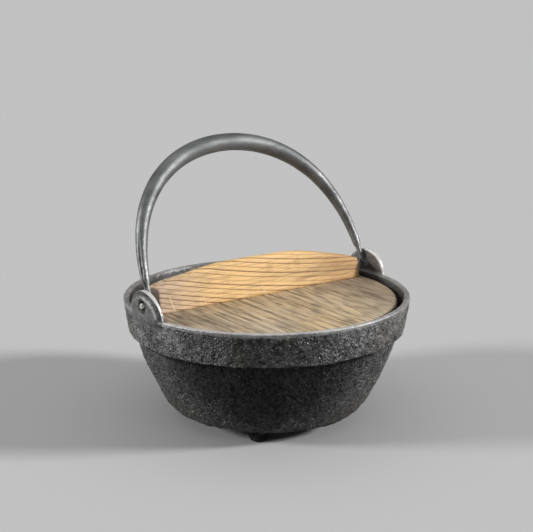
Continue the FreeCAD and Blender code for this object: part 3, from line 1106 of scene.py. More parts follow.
        def ring(share: float, inset: float, face: Face, shift: float = 0.0) -> np.ndarray:
            """Return one ring of points on a face.

            Args:
                share: how much of the outline's size it has.
                inset: how far it is drawn in.
                face: the face that it lies on.
                shift: how far it is moved off the face.

            Returns:
                The points as rows.
            """
            y = (self.ear_half_width - inset) * share * cosines * widening
            z = self.ear_widest + (reach - inset) * share * sines
            return np.column_stack([face(y, z) + shift, y, z])

        def edge_ring(turn: float, face: Face, inwards: float) -> np.ndarray:
            """Return one ring of the rounded edge.

            Args:
                turn: the share of a quarter turn from the face.
                face: the face that the edge belongs to.
                inwards: which way the edge leaves the face.

            Returns:
                The points as rows.
            """
            angle = turn * math.pi / 2
            inset = self.ear_edge * (1.0 - math.sin(angle))
            return ring(1.0, inset, face, inwards * self.ear_edge * (1.0 - math.cos(angle)))

        outside = self.ear_outside
        inside = self.ear_inside
        rings = [ring(index / outer_rows, self.ear_edge, outside) for index in range(1, outer_rows + 1)]
        rings += [edge_ring(turn, outside, -1.0) for turn in (0.25, 0.5, 0.75, 1.0)]
        rings += [edge_ring(turn, inside, 1.0) for turn in (1.0, 0.75, 0.5, 0.25, 0.0)]
        rings += [ring(index / inner_rows, self.ear_edge, inside) for index in range(inner_rows - 1, 0, -1)]
        outer_middle = ring(0.0, self.ear_edge, outside)[:1]
        inner_middle = ring(0.0, self.ear_edge, inside)[:1]
        points = np.vstack([outer_middle, *rings, inner_middle])
        rows = [[0]]
        rows += [list(range(1 + around * row, 1 + around * (row + 1))) for row in range(len(rings))]
        rows += [[len(points) - 1]]
        faces: list[tuple[int, ...]] = []
        for first, second in zip(rows, rows[1:]):
            faces.extend(loop_strip(second, first) if len(first) == 1 else loop_strip(first, second, True))
        points[:, :2] *= side.value
        return solid("ear", points, faces)

    def bore(self, side: Side) -> bpy.types.Object:
        """Return the cutter for one ear's hole, with the worn dish round its mouth.

        Args:
            side: which ear it is for.

        Returns:
            The cutter, in place.
        """
        count = 40
        reach = 4.0 * MM
        chamfer = 0.3 * MM
        chamfer_depth = 0.5 * MM
        mouth = self.ear_radius - self.dish_depth
        growth = (self.dish_radius - self.hole_radius) / self.dish_depth
        profile = [
            (0.0, mouth - 2 * self.ear_thickness),
            (self.hole_radius, mouth - 2 * self.ear_thickness),
            (self.hole_radius, mouth - chamfer_depth),
            (self.hole_radius + chamfer, mouth),
            (self.dish_radius, mouth + self.dish_depth),
            (self.dish_radius + growth * reach, mouth + self.dish_depth + reach),
            (0.0, mouth + self.dish_depth + reach),
        ]
        cutter = turned("bore", profile, [1, count, count, count, count, count, 1])
        place = Matrix.Translation((0.0, 0.0, self.pivot_height))
        turn = Matrix.Rotation(side.value * math.pi / 2, 4, "Y")
        cutter.data.transform(place @ turn)
        return cutter

    def foot(self, index: int, circle: float) -> bpy.types.Object:
        """Return one stub foot, reaching into the base.

        Args:
            index: which foot it is.
            circle: the radius that the feet stand on.

        Returns:
            The foot, in place.
        """
        count = 48
        fillet = 1.6 * MM
        sole_round = 1.3 * MM
        spread = self.foot_radius + self.foot_spread
        top = self.base_height + self.wall / 2
        profile = rounded([
            Corner(0.001 * MM, 0.0, 0.0, 3.0 * MM),
            Corner(self.foot_radius, 0.0, sole_round, 1.2 * MM),
            Corner(spread, self.base_height - 0.6 * MM, 0.0, 1.0 * MM),
            Corner(spread + fillet, self.base_height + 0.8 * MM, 0.0, 1.0 * MM),
            Corner(spread, top, 0.0, 4.0 * MM),
        ])
        profile = [(0.0, 0.0), *profile[1:], (0.0, top)]
        stub = turned("foot", profile, [1, *[count] * (len(profile) - 2), 1])
        angle = self.foot_first_angle + index * 2.0 * math.pi / self.foot_count
        stub.data.transform(Matrix.Translation((circle * math.cos(angle), circle * math.sin(angle), 0.0)))
        return stub

    def build(self) -> bpy.types.Object:
        """Join and bore the casting and store on it where it is worn, sooty and painted with light and shade.

        Returns:
            The whole casting as one closed mesh.
        """
        profile, counts = self.profile()
        pot = turned("pot_casting", profile, counts)
        for side in Side:
            combine(pot, self.ear(side), Solve.JOIN)
        base_edge = self.bowl_side(0.0, self.inner_spacing)[0].radius
        for index in range(self.foot_count):
            combine(pot, self.foot(index, base_edge - self.foot_inset), Solve.JOIN)
        for side in Side:
            combine(pot, self.bore(side), Solve.CUT)
        self.store_marks_and_painted_light(pot)
        return pot

    def zones(self, places: np.ndarray, normal: np.ndarray) -> dict[str, np.ndarray]:
        """Return how far each vertex lies in each zone of the casting, from 0 to 1.

        Args:
            places: the vertices.
            normal: their normals.

        Returns:
            The shares by the zone's name.
        """
        x, y, height = places.T
        rim = self.rim_height
        foot = self.collar_foot
        bowl_top = self.bowl_top_radius
        radius = np.hypot(x, y)
        front = places @ FRONT / self.rim_radius
        facing_out = normal[:, 0] * np.sign(x)
        outward = (x * normal[:, 0] + y * normal[:, 1]) / np.maximum(radius, MM)
        turned_in = np.maximum(eased(-outward, 0.0, 0.3), eased(normal[:, 2], 0.3, 0.6))
        inside = eased(self.rim_radius - self.rim_wall + 0.5 * MM - radius, 0.0, 1.0 * MM) * turned_in
        lip = eased(height, rim - 4.5 * MM, rim - 1.5 * MM) * (1.0 - inside)
        upright = eased(height, rim + 0.2 * MM, rim + 1.5 * MM)
        by_ear = eased(np.abs(x), 0.91 * self.ear_radius, 0.945 * self.ear_radius)
        by_ear *= eased(self.ear_half_width + 2.0 * MM - np.abs(y), 0.0, 5.0 * MM)
        ear = by_ear * eased(height, rim - 12.0 * MM, rim - 3.0 * MM)
        rise = (height - self.ear_widest) / (self.ear_top - self.ear_widest)
        head = np.hypot(y / self.ear_half_width, rise)
        past_ridge = head - self.bevel_start
        inner_face = eased(-facing_out, 0.5, 0.8) * upright
        edge = eased(1.0 - np.abs(normal[:, 0]), 0.20, 0.45) * upright
        edge = np.maximum(edge, inner_face * eased(head, 0.90, 0.97))
        # Painted highlight: the ears' edges and ridges brighten less, and far out the edges not at all, on
        # their +Y side, away from the main lamp; it lies over real rubbing.
        edge *= 1.0 - eased(y, 13.0 * MM, 20.0 * MM)
        lamp_side = 1.0 - 0.65 * eased(y, -4.0 * MM, 9.0 * MM) * by_ear
        ridge = np.exp(-((past_ridge / self.ridge_width) ** 2)) * upright
        # Painted shade in each ear's bore and round the hook that sits in it.
        off_pivot = np.hypot(y, height - self.pivot_height)
        bore = eased(self.hole_radius + 1.3 * MM - off_pivot, 0.0, 0.6 * MM) * by_ear
        crest = eased(height, rim - 1.3 * MM, rim - 0.4 * MM) * (1.0 - upright) * (1.0 - by_ear)
        # Painted highlight along the collar's rounded lower edge.
        collar_edge = np.exp(-(((height - foot - 1.4 * MM) / (1.8 * MM)) ** 2))
        under = eased(bowl_top + 3.4 * MM - radius, 0.0, 1.0 * MM) * (1.0 - inside)
        bowl = eased(foot + 0.5 * MM - height, 0.0, 2.0 * MM) * under
        return {
            "inside": inside,
            "lip": lip,
            "lip_beside_ears": lip * (1.0 - ear),
            # Painted highlight on the lip's crest, over its rubbing, strongest towards the camera.
            "crest": crest * (0.45 + 0.55 * eased(front, 0.3, 0.9)),
            "collar": eased(height, foot - 1.0 * MM, foot + 1.0 * MM),
            "collar_edge": collar_edge * eased(radius, bowl_top + 1.5 * MM, bowl_top + 4.0 * MM),
            # Painted shade on the collar's side towards the camera.
            "collar_front": eased(front, 0.62, 1.0) * (1.0 - bowl) * (1.0 - lip),
            # Painted shade in the crease under the collar's lower edge.
            "crease": eased(height, foot - 5.0 * MM, foot - 0.5 * MM) * bowl,
            "bowl": bowl,
            # Painted shade on the bowl's side towards the camera.
            "bowl_front": eased(front, 0.50, 1.0) * bowl,
            # Painted shade on the feet.
            "feet": 1.0 - eased(height, 4.0 * MM, 16.0 * MM),
            "sole": 1.0 - eased(height, 0.0, 3.0 * MM),
            "ear": ear,
            "ear_outside": ear * eased(facing_out, 0.0, 0.5),
            "outer_face": ear * eased(facing_out, 0.90, 0.985),
            "inner_face": inner_face,
            # Painted shade on the middle of each ear's inner face.
            "inner_middle": eased(-facing_out, 0.7, 0.9) * upright * (1.0 - eased(head, 0.86, 0.95)),
            "edge": edge * lamp_side,
            "ridge": ridge * lamp_side * eased(facing_out, 0.5, 0.8),
            "bevel": eased(past_ridge, 0.05, 0.12) * eased(facing_out, 0.4, 0.6) * upright,
            "bore": bore * (1.0 - eased(-facing_out, 0.2, 0.6)),
        }

    def store_marks_and_painted_light(self, pot: bpy.types.Object) -> None:
        """Store on each vertex how worn and painted with highlight, how sooty and painted with shade, how rough
        and how sunk the casting is.

        Args:
            pot: the whole casting.
        """
        places = vertices(pot)
        flat = np.zeros(places.size, dtype=np.float32)
        pot.data.vertex_normals.foreach_get("vector", flat)
        zones = self.zones(places, flat.reshape(-1, 3))

        def shares(weights: dict[str, float]) -> list[np.ndarray]:
            """Return each named zone multiplied by its weight."""
            return [weight * zones[name] for name, weight in weights.items()]

        wear = np.sum(shares(self.weathering_and_painted_light.worn), axis=0) * (1.0 - zones["bore"])
        skin = np.prod([1.0 - share for share in shares(self.weathering_and_painted_light.smoothed)], axis=0)
        store(pot, "soot", np.sum(shares(self.weathering_and_painted_light.smoked_and_shaded), axis=0))
        store(pot, "skin", np.clip(skin, 0.0, 1.0))
        store(pot, "sunk", np.max(shares(self.weathering_and_painted_light.sunk), axis=0))
        store(pot, "wear", np.clip(wear, 0.0, 1.0))

    def dress(self, pot: bpy.types.Object) -> None:
        """Raise the cast skin and put on the finish.

        Args:
            pot: the whole casting.
        """
        growth = Growth("cast_skin")
        lump_size = growth.input("Lump Size", self.lump_size)
        lump_depth = growth.input("Lump Depth", self.lump_depth)
        wave_depth = growth.input("Wave Depth", self.wave_depth)
        per_lump = growth.math("DIVIDE", 1.0, lump_size)
        feeds = {"Vector": growth.position, "Scale": per_lump, "Detail": 2.0, "Roughness": 0.6}
        lumps = growth.add("ShaderNodeTexNoise", feeds).outputs[0]
        waves = growth.noise(growth.position, self.wave_size, 1.5)
        # Where the casting is sunk the skin is drawn inwards, so that edges keep inside the CAD model's box.
        middle = growth.between(growth.stored("sunk"), 0.0, 1.0, 0.5, 0.8)
        rise = growth.times(growth.minus(lumps, middle), lump_depth)
        height = growth.axis(growth.position, "Z")
        calmer = growth.between(height, self.collar_foot - 4.0 * MM, self.collar_foot + MM, 1.0, 0.6)
        swell = growth.times(growth.times(growth.minus(waves, middle), wave_depth), calmer)
        depth = growth.times(growth.plus(rise, swell), growth.stored("skin"))
        kept = growth.keep(growth.geometry, "lumps", lumps)
        growth.finish(growth.push(kept, depth), self.finish.material())
        growth.apply(pot)
        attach(pot, "pot")
        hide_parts("pot_body")


@dataclass
class Bail:
    """The forged bail: a tapered bar bent into an arch, with a hook at each end that goes through an ear."""

    pivot_height: float
    end_half_span: float
    tip_half_span: float
    lean: float = math.radians(26.0)
    height: float = 114.7 * MM
    spread: float = 2.8 * MM
    shoulder_height: float = 84.0 * MM
    crown_reach: float = 49.4 * MM
    crown_radius: float = 6.9 * MM
    leg_radius: float = 2.5 * MM
    taper_power: float = 2.4
    hook_radius: float = 2.1 * MM
    bend_radius: float = 3.0 * MM
    neck_heights: Span = (12.5 * MM, 16.0 * MM)
    ear_gap: float = 3.4 * MM
    hammer_size: float = 13.0 * MM
    hammer_depth: float = 0.35 * MM
    seam_side: tuple[float, float, float] = (-0.70, -0.55, 0.16)
    seam_depth: float = 0.9 * MM
    seam_break: float = 4.5 * MM
    half_steps: int = 90
    round_steps: int = 36
    finish: ForgedIron = field(default_factory=ForgedIron)

    @classmethod
    def from_frame(cls, pot: PotCasting) -> "Bail":
        """Read the bail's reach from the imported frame.

        Args:
            pot: the pot that it hangs in.

        Returns:
            The bail.
        """
        _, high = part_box("bail_handle")
        leg = pot.ear_radius - pot.ear_thickness - cls.ear_gap
        return cls(pivot_height=pot.pivot_height, end_half_span=leg, tip_half_span=high[0])

    def arch(self, share: float) -> np.ndarray:
        """Return a point of the half arch in its own plane.

        Args:
            share: the way from the +X end (0) to the crown (1).

        Returns:
            X and the rise above the pivot.
        """
        poles = np.array([
            (self.end_half_span, 0.0),
            (self.end_half_span + self.spread, self.shoulder_height),
            (self.crown_reach, self.height),
            (0.0, self.height),
        ])
        rest = 1.0 - share
        return np.array([rest ** 3, 3 * share * rest ** 2, 3 * share ** 2 * rest, share ** 3]) @ poles

    def bar_radius(self, share: float) -> float:
        """Return the bar's radius, which narrows to the hook's near the pivot.

        Args:
            share: the way from the +X end (0) to the crown (1).

        Returns:
            The radius.
        """
        swelling = 1.0 - (1.0 - share) ** self.taper_power
        bar = self.leg_radius + (self.crown_radius - self.leg_radius) * swelling
        rise = self.arch(share)[1]
        step = float(eased(np.array(rise), *self.neck_heights))
        return self.hook_radius + (bar - self.hook_radius) * step

    def half_path(self) -> list[tuple[float, float, float]]:
        """Follow one half from the hook's tip to just before the crown.

        Returns:
            X, rise and radius of each point.
        """
        path: list[tuple[float, float, float]] = []
        # How far each ring of the rounded tip lies back, and its share of the hook's radius.
        tip_ease = ((0.0, 0.78), (0.15 * MM, 0.93), (0.5 * MM, 1.0))
        for back, share in tip_ease:
            path.append((self.tip_half_span - back, 0.0, self.hook_radius * share))
        bend_steps = 6
        centre_x = self.end_half_span + self.bend_radius
        for index in range(bend_steps + 1):
            angle = math.pi / 2 * index / bend_steps
            x = centre_x - self.bend_radius * math.sin(angle)
            path.append((x, self.bend_radius * (1.0 - math.cos(angle)), self.hook_radius))
        # The foot of the arch is left out, because the bend takes its place.
        above_bend = 1.3 * self.bend_radius
        for index in range(self.half_steps):
            share = index / self.half_steps
            x, rise = self.arch(share)
            if rise > above_bend:
                path.append((x, rise, self.bar_radius(share)))
        return path

    def build(self) -> bpy.types.Object:
        """Draw the centreline as a chain of edges with the bar's radius stored on it.

        Returns:
            The centreline.
        """
        half = self.half_path()
        crown = (0.0, self.height, self.crown_radius)
        path = half + [crown] + [(-x, rise, radius) for x, rise, radius in half[::-1]]
        back = math.sin(self.lean)
        up = math.cos(self.lean)
        points = [(x, rise * back, self.pivot_height + rise * up) for x, rise, _ in path]
        edges = [(index, index + 1) for index in range(len(points) - 1)]
        bail = solid("bail_bar", np.array(points), [], edges)
        store(bail, "bar_radius", np.array([radius for _, _, radius in path]))
        store(bail, "along", np.linspace(-1.0, 1.0, len(path)))
        hooked = np.abs([x for x, _, _ in path]) - self.end_half_span
        store(bail, "worn", eased(hooked, 0.0, self.bend_radius))
        return bail

    def dress(self, bail: bpy.types.Object) -> None:
        """Sweep the bar along its centreline, forge its surface and put on the finish.

        Args:
            bail: the centreline.
        """
        growth = Growth("forged_bar")
        steps = growth.input("Round Steps", self.round_steps, "NodeSocketInt")
        hammer = growth.input("Hammer Depth", self.hammer_depth)
        groove = growth.input("Seam Depth", self.seam_depth)
        line = growth.add("GeometryNodeMeshToCurve", {"Mesh": growth.geometry}).outputs[0]
        circle = growth.add("GeometryNodeCurvePrimitiveCircle", {"Resolution": steps, "Radius": 1.0})
        feeds = {"Curve": line, "Profile Curve": circle.outputs[0], "Fill Caps": True}
        feeds["Scale"] = growth.stored("bar_radius")
        swept = growth.add("GeometryNodeCurveToMesh", feeds)
        dents = growth.noise(growth.position, self.hammer_size, 1.0)
        dent = growth.times(growth.minus(dents, 0.72), hammer)
        facing = growth.dot(growth.normal, Vector(self.seam_side).normalized())
        broken = growth.between(growth.noise(growth.position, self.seam_break, 3.0, 0.7), 0.36, 0.56)
        on_leg = growth.times(growth.between(growth.stored("along"), 0.50, 0.66), broken)
        seam = growth.times(growth.between(facing, 0.93, 0.99), on_leg)
        sunk = growth.minus(dent, growth.times(seam, groove))
        kept = growth.keep(swept.outputs[0], "seam", seam)
        growth.finish(growth.push(kept, sunk), self.finish.material())
        growth.apply(bail)
        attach(bail, "bail")
        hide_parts("bail_handle")


@dataclass
class Lid:
    """The drop-in lid: two boards on hidden pegs and an arched batten in a sliding dovetail."""

    top: float
    thickness: float
    radius: float
    batten_top: float
    turn: float = math.radians(-2.8)
    seam: float = 2.0 * MM
    edge: float = 1.4 * MM
    seam_edge: float = 0.45 * MM
    batten_length: float = 189.6 * MM
    batten_shift: float = 2.3 * MM
    batten_offset: float = 10.5 * MM
    near_height: float = 18.0 * MM
    far_height: float = 15.6 * MM
    crown_length: float = 80.0 * MM
    crown_shift: float = -4.9 * MM
    crown_ease: float = 22.0 * MM
    end_round: float = 4.0 * MM
    base_width: float = 18.0 * MM
    top_width: float = 8.0 * MM
    batten_edge: float = 1.3 * MM
    tongue_neck: float = 9.0 * MM
    tongue_flare: float = 1.2 * MM
    tongue_depth: float = 5.0 * MM
    tongue_setback: float = 6.0 * MM
    tongue_clearance: float = 0.1 * MM
    peg_count: int = 4
    peg_radius: float = 2.5 * MM
    peg_length: float = 36.0 * MM
    peg_pitch: float = 50.0 * MM
    peg_clearance: float = 0.05 * MM
    peg_end_clearance: float = 0.8 * MM
    board_grain: float = 0.22 * MM
    batten_grain: float = 0.16 * MM

    @classmethod
    def from_frame(cls) -> "Lid":
        """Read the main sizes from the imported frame.

        Returns:
            The lid.
        """
        low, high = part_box("lid_board_left")
        _, batten_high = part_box("lid_batten")
        return cls(top=high[2], thickness=high[2] - low[2], radius=-low[0], batten_top=batten_high[2])

    @property
    def batten_height(self) -> float:
        """Return how far the batten's crown stands above the boards."""
        return self.batten_top - self.top

    def placed(self, points: np.ndarray) -> np.ndarray:
        """Turn points that are drawn about the lid's top centre and set them in the pot.

        Args:
            points: the points as rows.

        Returns:
            The points in place.
        """
        cosine = math.cos(self.turn)
        sine = math.sin(self.turn)
        x = points[:, 0] * cosine - points[:, 1] * sine
        y = points[:, 0] * sine + points[:, 1] * cosine
        return np.column_stack([x, y, points[:, 2] + self.top])

    def board(self, side: Side) -> bpy.types.Object:
        """Return one board of the lid: a part of the disc on one side of the seam.

        Args:
            side: which side of the seam it lies on.

        Returns:
            The board, without its groove and bores.
        """
        columns = 150
        rows = 44
        last_angle = math.radians(88.8)

        def level(inset: float, height: float) -> np.ndarray:
            """Return a grid over the board's outline.

            Args:
                inset: how far it is drawn in.
                height: its height from the lid's top.

            Returns:
                The points by column and row.
            """
            radius = self.radius - inset
            seam = self.seam + side.value * min(inset, self.edge) / self.edge * self.seam_edge
            start = math.asin(seam / radius)
            angles = np.linspace(start, side.value * last_angle, columns)
            x = radius * np.sin(angles)[:, None] * np.ones(rows)
            y = radius * np.cos(angles)[:, None] * np.linspace(-1.0, 1.0, rows)[None, :]
            grid = np.stack([x, y, np.full_like(x, height)], axis=2)
            return grid if side is Side.FAR else grid[::-1]

        number = np.arange(columns * rows).reshape(columns, rows)
        outline = [*number[:-1, 0], *number[-1, :-1], *number[:0:-1, -1], *number[0, :0:-1]]
        eased_edge = 0.30 * self.edge
        edge_steps = [(self.edge, 0.0), (eased_edge, eased_edge), (0.0, self.edge)]
        levels = [level(inset, -drop) for inset, drop in edge_steps]
        levels.append(level(0.0, -self.thickness / 2))
        levels += [level(inset, drop - self.thickness) for inset, drop in edge_steps[::-1]]
        flat = [grid.reshape(-1, 3) for grid in levels]
        points = [flat[0]]
        rings = [list(outline)]
        total = len(flat[0])
        for grid in flat[1:-1]:
            points.append(grid[outline])
            rings.append(list(range(total, total + len(outline))))
            total += len(outline)
        points.append(flat[-1])
        rings.append([total + index for index in outline])
        faces: list[tuple[int, ...]] = []
        corners = [number[:-1, :-1], number[1:, :-1], number[1:, 1:], number[:-1, 1:]]
        quads = np.stack(corners, axis=2).reshape(-1, 4)
        faces.extend(tuple(quad) for quad in quads)
        faces.extend(tuple(total + quad[::-1]) for quad in quads)
        for above, below in zip(rings, rings[1:]):
            faces.extend(loop_strip(below, above))
        return solid("lid_board", self.placed(np.vstack(points)), faces)

    def tongue(self, start: float, end: float, clearance: float) -> bpy.types.Object:
        """Return the dovetail tongue, or with a clearance the cutter for its groove.

        Args:
            start: where it starts along the batten.
            end: where it ends.
            clearance: how much larger the groove is.

        Returns:
            The solid, reaching a little above the boards.
        """
        neck = self.tongue_neck / 2 + clearance
        depth = self.tongue_depth + clearance
        slope = self.tongue_flare / self.tongue_depth
        reach = 0.5 * MM
        section = [(-neck + slope * reach, reach), (neck - slope * reach, reach)]
        section += [(neck + self.tongue_flare, -depth), (-neck - self.tongue_flare, -depth)]
        points = [(x, self.batten_offset + y, z) for x in (start, end) for y, z in section]
        faces = [(0, 1, 2, 3), (7, 6, 5, 4), (0, 4, 5, 1), (1, 5, 6, 2), (2, 6, 7, 3), (3, 7, 4, 0)]
        return solid("tongue", self.placed(np.array(points)), faces)

    def peg_bore(self, index: int) -> bpy.types.Object:
        """Return the cutter for one peg's bore across the seam.

        Args:
            index: which peg it is for.

        Returns:
            The cutter, in place.
        """
        count = 24
        half = self.peg_length / 2 + self.peg_end_clearance
        radius = self.peg_radius + self.peg_clearance
        profile = [(0.0, -half), (radius, -half), (radius, half), (0.0, half)]
        cutter = turned("peg_bore", profile, [1, count, count, 1])
        y = (index - (self.peg_count - 1) / 2) * self.peg_pitch
        cutter.data.transform(
            Matrix.Translation((0.0, 0.0, self.top))
            @ Matrix.Rotation(self.turn, 4, "Z")
            @ Matrix.Translation((self.seam, y, -self.thickness / 2))
            @ Matrix.Rotation(math.pi / 2, 4, "Y"))
        return cutter

    def batten_outline(self) -> list[Point]:
        """Draw the batten's upper outline from its near end to its far end.

        Returns:
            The points, along and up.
        """
        start = self.batten_shift - self.batten_length / 2
        end = self.batten_shift + self.batten_length / 2
        crown_start = self.batten_shift + self.crown_shift - self.crown_length / 2
        crown_end = self.batten_shift + self.crown_shift + self.crown_length / 2
        end_share = 0.55
        fine = 1.6 * MM
        coarse = 2.0 * MM
        return rounded([
            Corner(start, end_share * self.near_height, 0.0, coarse),
            Corner(start, self.near_height, self.end_round, fine),
            Corner(crown_start, self.batten_height, self.crown_ease, fine),
            Corner(crown_end, self.batten_height, self.crown_ease, fine),
            Corner(end, self.far_height, self.end_round, coarse),
            Corner(end, end_share * self.far_height, 0.0, coarse),
        ])

    def batten(self) -> bpy.types.Object:
        """Make the batten: a slab that narrows upwards, with eased edges and its tongue.

        Returns:
            The batten, in place.
        """
        rows = 14
        outline = self.batten_outline()
        slope = (self.base_width - self.top_width) / 2 / self.batten_height
        end_ease = 1.2 * MM
        rings: list[np.ndarray] = []
        start = outline[0][0]
        end = outline[-1][0]
        for x, height in outline:
            reach = min(x - start, end - x)
            ease = end_ease - math.sqrt(max(0.0, end_ease ** 2 - max(0.0, end_ease - reach) ** 2))
            up = [(height - self.batten_edge) * row / rows for row in range(rows + 1)]
            side = [(self.base_width / 2 - slope * z - ease, z) for z in up]
            top_half = self.base_width / 2 - slope * height - ease - self.batten_edge
            arc: list[Point] = []
            for step in (0.35, 0.7, 1.0):
                angle = step * math.pi / 2
                drop = self.batten_edge * (1.0 - math.sin(angle))
                arc.append((top_half + self.batten_edge * math.cos(angle), height - drop))
            half = side + arc + [(top_half / 3, height)]
            ring = [(-y, z) for y, z in half] + half[::-1]
            rings.append(np.array([(x, self.batten_offset + y, z) for y, z in ring]))
        size = len(rings[0])
        faces: list[tuple[int, ...]] = []
        for index in range(len(rings) - 1):
            here = list(range(index * size, (index + 1) * size))
            ahead = [number + size for number in here]
            faces.extend(loop_strip(here, ahead))
        faces.append(tuple(range(size))[::-1])
        last = (len(rings) - 1) * size
        faces.append(tuple(range(last, last + size)))
        slab = solid("lid_batten_slab", self.placed(np.vstack(rings)), faces)
        # The tongue starts a hair inside the end face, so that the two solids share no plane there.
        tongue_start = start + 0.01 * MM
        combine(slab, self.tongue(tongue_start, end - self.tongue_setback, 0.0), Solve.JOIN)
        return slab

    def board_timber(self, side: Side) -> Timber:
        """Choose a board's timber: edge grain on one side of the seam, flat-sawn on the other.

        Args:
            side: which board it is.

        Returns:
            The timber.
        """
        common = {"sharpness": 2.0, "fibre": (1.0, 0.04, 0.5), "turn": self.turn}
        if side is Side.NEAR:
            rings = Rings(
                across=(1.0, 0.012, 0.0), upward=(0.0, 0.0, 1.0), across_start=0.31, upward_start=-0.30,
                spacing=6.2 * MM, warp=3.0 * MM, **common)
        else:
            rings = Rings(
                across=(1.0, 0.02, 0.0), upward=(0.0, 0.16, 1.0), across_start=-0.047, upward_start=-0.045,
                spacing=5.2 * MM, warp=4.0 * MM, **common)
        return Timber(
            name="lid_timber_" + side.name.lower(),
            rings=rings,
            early=(0.55, 0.405, 0.235),
            late=(0.17, 0.125, 0.078),
            stain=(0.105, 0.077, 0.050),
            grey=(0.50, 0.43, 0.325),
            end_grain_and_shade=(0.16, 0.12, 0.08),
            greying=0.8,
            contrast=0.45 if side is Side.NEAR else 0.34,
            staining=0.50,
            streaking=0.82,
            blotting=0.65,
            scratching=0.5,
            ends=((0.34, 0.265, 0.185), (0.275, 0.21, 0.145)),
        )

    def batten_timber(self) -> Timber:
        """Choose the batten's timber: warmer, with level growth lines along its face.

        Returns:
            The timber.
        """
        rings = Rings(
            across=(1.0, 0.0, 0.0), upward=(0.0, 0.35, 1.0), across_start=-0.160, upward_start=-1.022,
            spacing=3.7 * MM, warp=3.4 * MM, sharpness=3.2, fibre=(0.05, 0.6, 1.0), turn=self.turn)
        return Timber(
            name="batten_timber",
            rings=rings,
            early=(0.81, 0.52, 0.215),
            late=(0.17, 0.085, 0.035),
            stain=(0.20, 0.115, 0.055),
            grey=(0.66, 0.49, 0.30),
            # Cut ends nearly black: end grain deepened by painted shade.
            end_grain_and_shade=(0.035, 0.024, 0.017),
            greying=0.5,
            contrast=1.0,
            staining=0.40,
            streaking=0.35,
            blotting=0.22,
            scratching=0.8,
            ends=((0.52, 0.39, 0.30), (0.53, 0.30, 0.115)),
        )

    def build(self) -> dict[str, bpy.types.Object]:
        """Make the boards, with their groove and bores, and the batten.

        Returns:
            The pieces by the CAD node that each stands for.
        """
        pieces: dict[str, bpy.types.Object] = {}
        groove_start = -self.radius - 2.0 * MM
        tongue_end = self.batten_shift + self.batten_length / 2 - self.tongue_setback
        groove_end = tongue_end + self.tongue_clearance
        for side, node in ((Side.NEAR, "lid_board_left"), (Side.FAR, "lid_board_right")):
            board = self.board(side)
            combine(board, self.tongue(groove_start, groove_end, self.tongue_clearance), Solve.CUT)
            for index in range(self.peg_count):
                combine(board, self.peg_bore(index), Solve.CUT)
            board.name = node + "_wood"
            pieces[node] = board
        pieces["lid_batten"] = self.batten()
        return pieces

    def dress(self, pieces: dict[str, bpy.types.Object]) -> None:
        """Raise the grain of each piece and put on its timber.

        Args:
            pieces: the pieces by CAD node.
        """
        timbers = {
            "lid_board_left": (self.board_timber(Side.NEAR), self.board_grain, "lid_wood"),
            "lid_board_right": (self.board_timber(Side.FAR), self.board_grain, "lid_wood"),
            "lid_batten": (self.batten_timber(), self.batten_grain, "batten_wood"),
        }
        for node, (timber, depth, slot) in timbers.items():
            timber.raise_grain(pieces[node], depth)
            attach(pieces[node], "lid")
            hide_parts(node)
        bamboo = Bamboo().material()
        for index in range(self.peg_count):
            peg = frame["nodes"]["lid_peg_%d" % (index + 1)]
            peg.data.materials.clear()
            peg.data.materials.append(bamboo)


@dataclass(frozen=True)
class SoftLamp:
    """One broad, distant lamp, given by the direction that it stands in."""

    towards: tuple[float, float, float]
    breadth: float
    strength: float

    def build(self, name: str) -> bpy.types.Object:
        """Add the lamp, turned to shine at the pot.

        Args:
            name: the lamp's name.

        Returns:
            The lamp.
        """
        lamp = bpy.data.lights.new(name, "SUN")
        lamp.angle = self.breadth
        lamp.energy = self.strength
        obj = bpy.data.objects.new(name, lamp)
        obj.rotation_euler = Vector(self.towards).to_track_quat("Z", "Y").to_euler()
        bpy.context.scene.collection.objects.link(obj)
        return obj


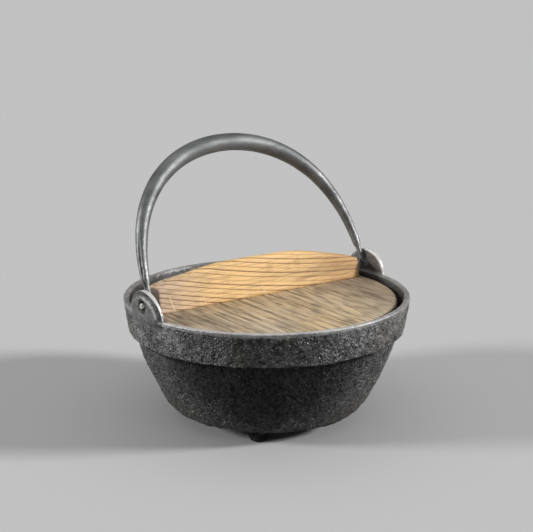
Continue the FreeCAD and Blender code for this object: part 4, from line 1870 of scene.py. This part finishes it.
@dataclass
class Studio:
    """A pale floor, soft lamps and the camera at the photograph's angle."""

    rim_height: float
    camera_place: tuple[float, float, float] = (-418.3 * MM, -527.2 * MM, 278.4 * MM)
    pitch: float = math.radians(1.557)
    roll: float = math.radians(-0.15)
    focal_pixels: float = 900.0
    frame_pixels: float = 533.0
    sensor_width: float = 36.0
    seen_depth: Span = (0.01, 50.0)
    floor_radius: float = 40.0
    floor_colour: Colour = (0.44, 0.44, 0.44)
    world_far: float = 0.535
    world_low: float = 0.04
    world_high: float = 0.75
    horizon_heights: Span = (0.08, 0.30)
    overhead_heights: Span = (0.45, 0.95)
    right_lamp: SoftLamp = SoftLamp((0.70, -0.70, 0.44), math.radians(10.0), 3.65)
    left_lamp: SoftLamp = SoftLamp((-0.85, 0.46, 0.38), math.radians(12.0), 2.7)

    def floor(self) -> bpy.types.Object:
        """Add the floor.

        Returns:
            The floor.
        """
        floor = turned("floor", [(self.floor_radius, 0.0), (0.0, 0.0)], [96, 1])
        shade = Shader("floor")
        shade.set(Base_Color=self.floor_colour, Roughness=0.9, Specular_IOR_Level=0.0)
        floor.data.materials.append(shade.material)
        return floor

    def lamps(self) -> None:
        """Add the lamps: the main one on the right and a weaker one on the left."""
        self.right_lamp.build("right_lamp")
        self.left_lamp.build("left_lamp")

    def world(self) -> None:
        """Set a plain world: pale at the horizon behind the floor, dim above it and lit softly overhead."""
        world = bpy.data.worlds.new("studio")
        world.use_nodes = True
        tree = Tree(world.node_tree)
        world.node_tree.nodes.clear()
        direction = tree.add("ShaderNodeTexCoord").outputs["Generated"]
        height = tree.axis(direction, "Z")
        horizon = tree.between(height, *self.horizon_heights, self.world_far, self.world_low)
        overhead = tree.between(height, *self.overhead_heights, 0.0, self.world_high)
        strength = tree.plus(horizon, overhead)
        light = tree.add("ShaderNodeBackground", {"Color": (1.0, 1.0, 1.0), "Strength": strength})
        tree.add("ShaderNodeOutputWorld", {"Surface": light.outputs[0]})
        bpy.context.scene.world = world

    def camera(self) -> None:
        """Add the camera: aimed at the rim's centre, then pitched up and rolled as in the photograph."""
        camera = bpy.data.cameras.new("camera")
        camera.sensor_fit = "HORIZONTAL"
        camera.sensor_width = self.sensor_width
        camera.lens = self.focal_pixels / self.frame_pixels * self.sensor_width
        camera.clip_start, camera.clip_end = self.seen_depth
        obj = bpy.data.objects.new("camera", camera)
        place = Vector(self.camera_place)
        aim = Vector((0.0, 0.0, self.rim_height)) - place
        turn = aim.to_track_quat("-Z", "Y").to_matrix().to_4x4()
        tilt = Matrix.Rotation(self.pitch, 4, "X") @ Matrix.Rotation(self.roll, 4, "Z")
        obj.matrix_world = Matrix.Translation(place) @ turn @ tilt
        bpy.context.scene.collection.objects.link(obj)
        bpy.context.scene.camera = obj

    def build(self) -> None:
        """Add everything round the pot."""
        self.floor()
        self.lamps()
        self.world()
        self.camera()
        bpy.context.scene.view_settings.view_transform = "Standard"


def main() -> None:
    """Build and dress the pot, the bail and the lid, then set the stage."""
    logging.basicConfig(level=logging.INFO, format="%(name)s: %(message)s")
    pot = PotCasting.from_frame()
    casting = pot.build()
    pot.dress(casting)
    bail = Bail.from_frame(pot)
    bar = bail.build()
    bail.dress(bar)
    lid = Lid.from_frame()
    wood = lid.build()
    lid.dress(wood)
    for piece in (casting, bar, *wood.values()):
        LOG.info("%s: %d faces", piece.name, len(piece.data.polygons))
    Studio(rim_height=pot.rim_height).build()


if __name__ == "__main__":
    main()
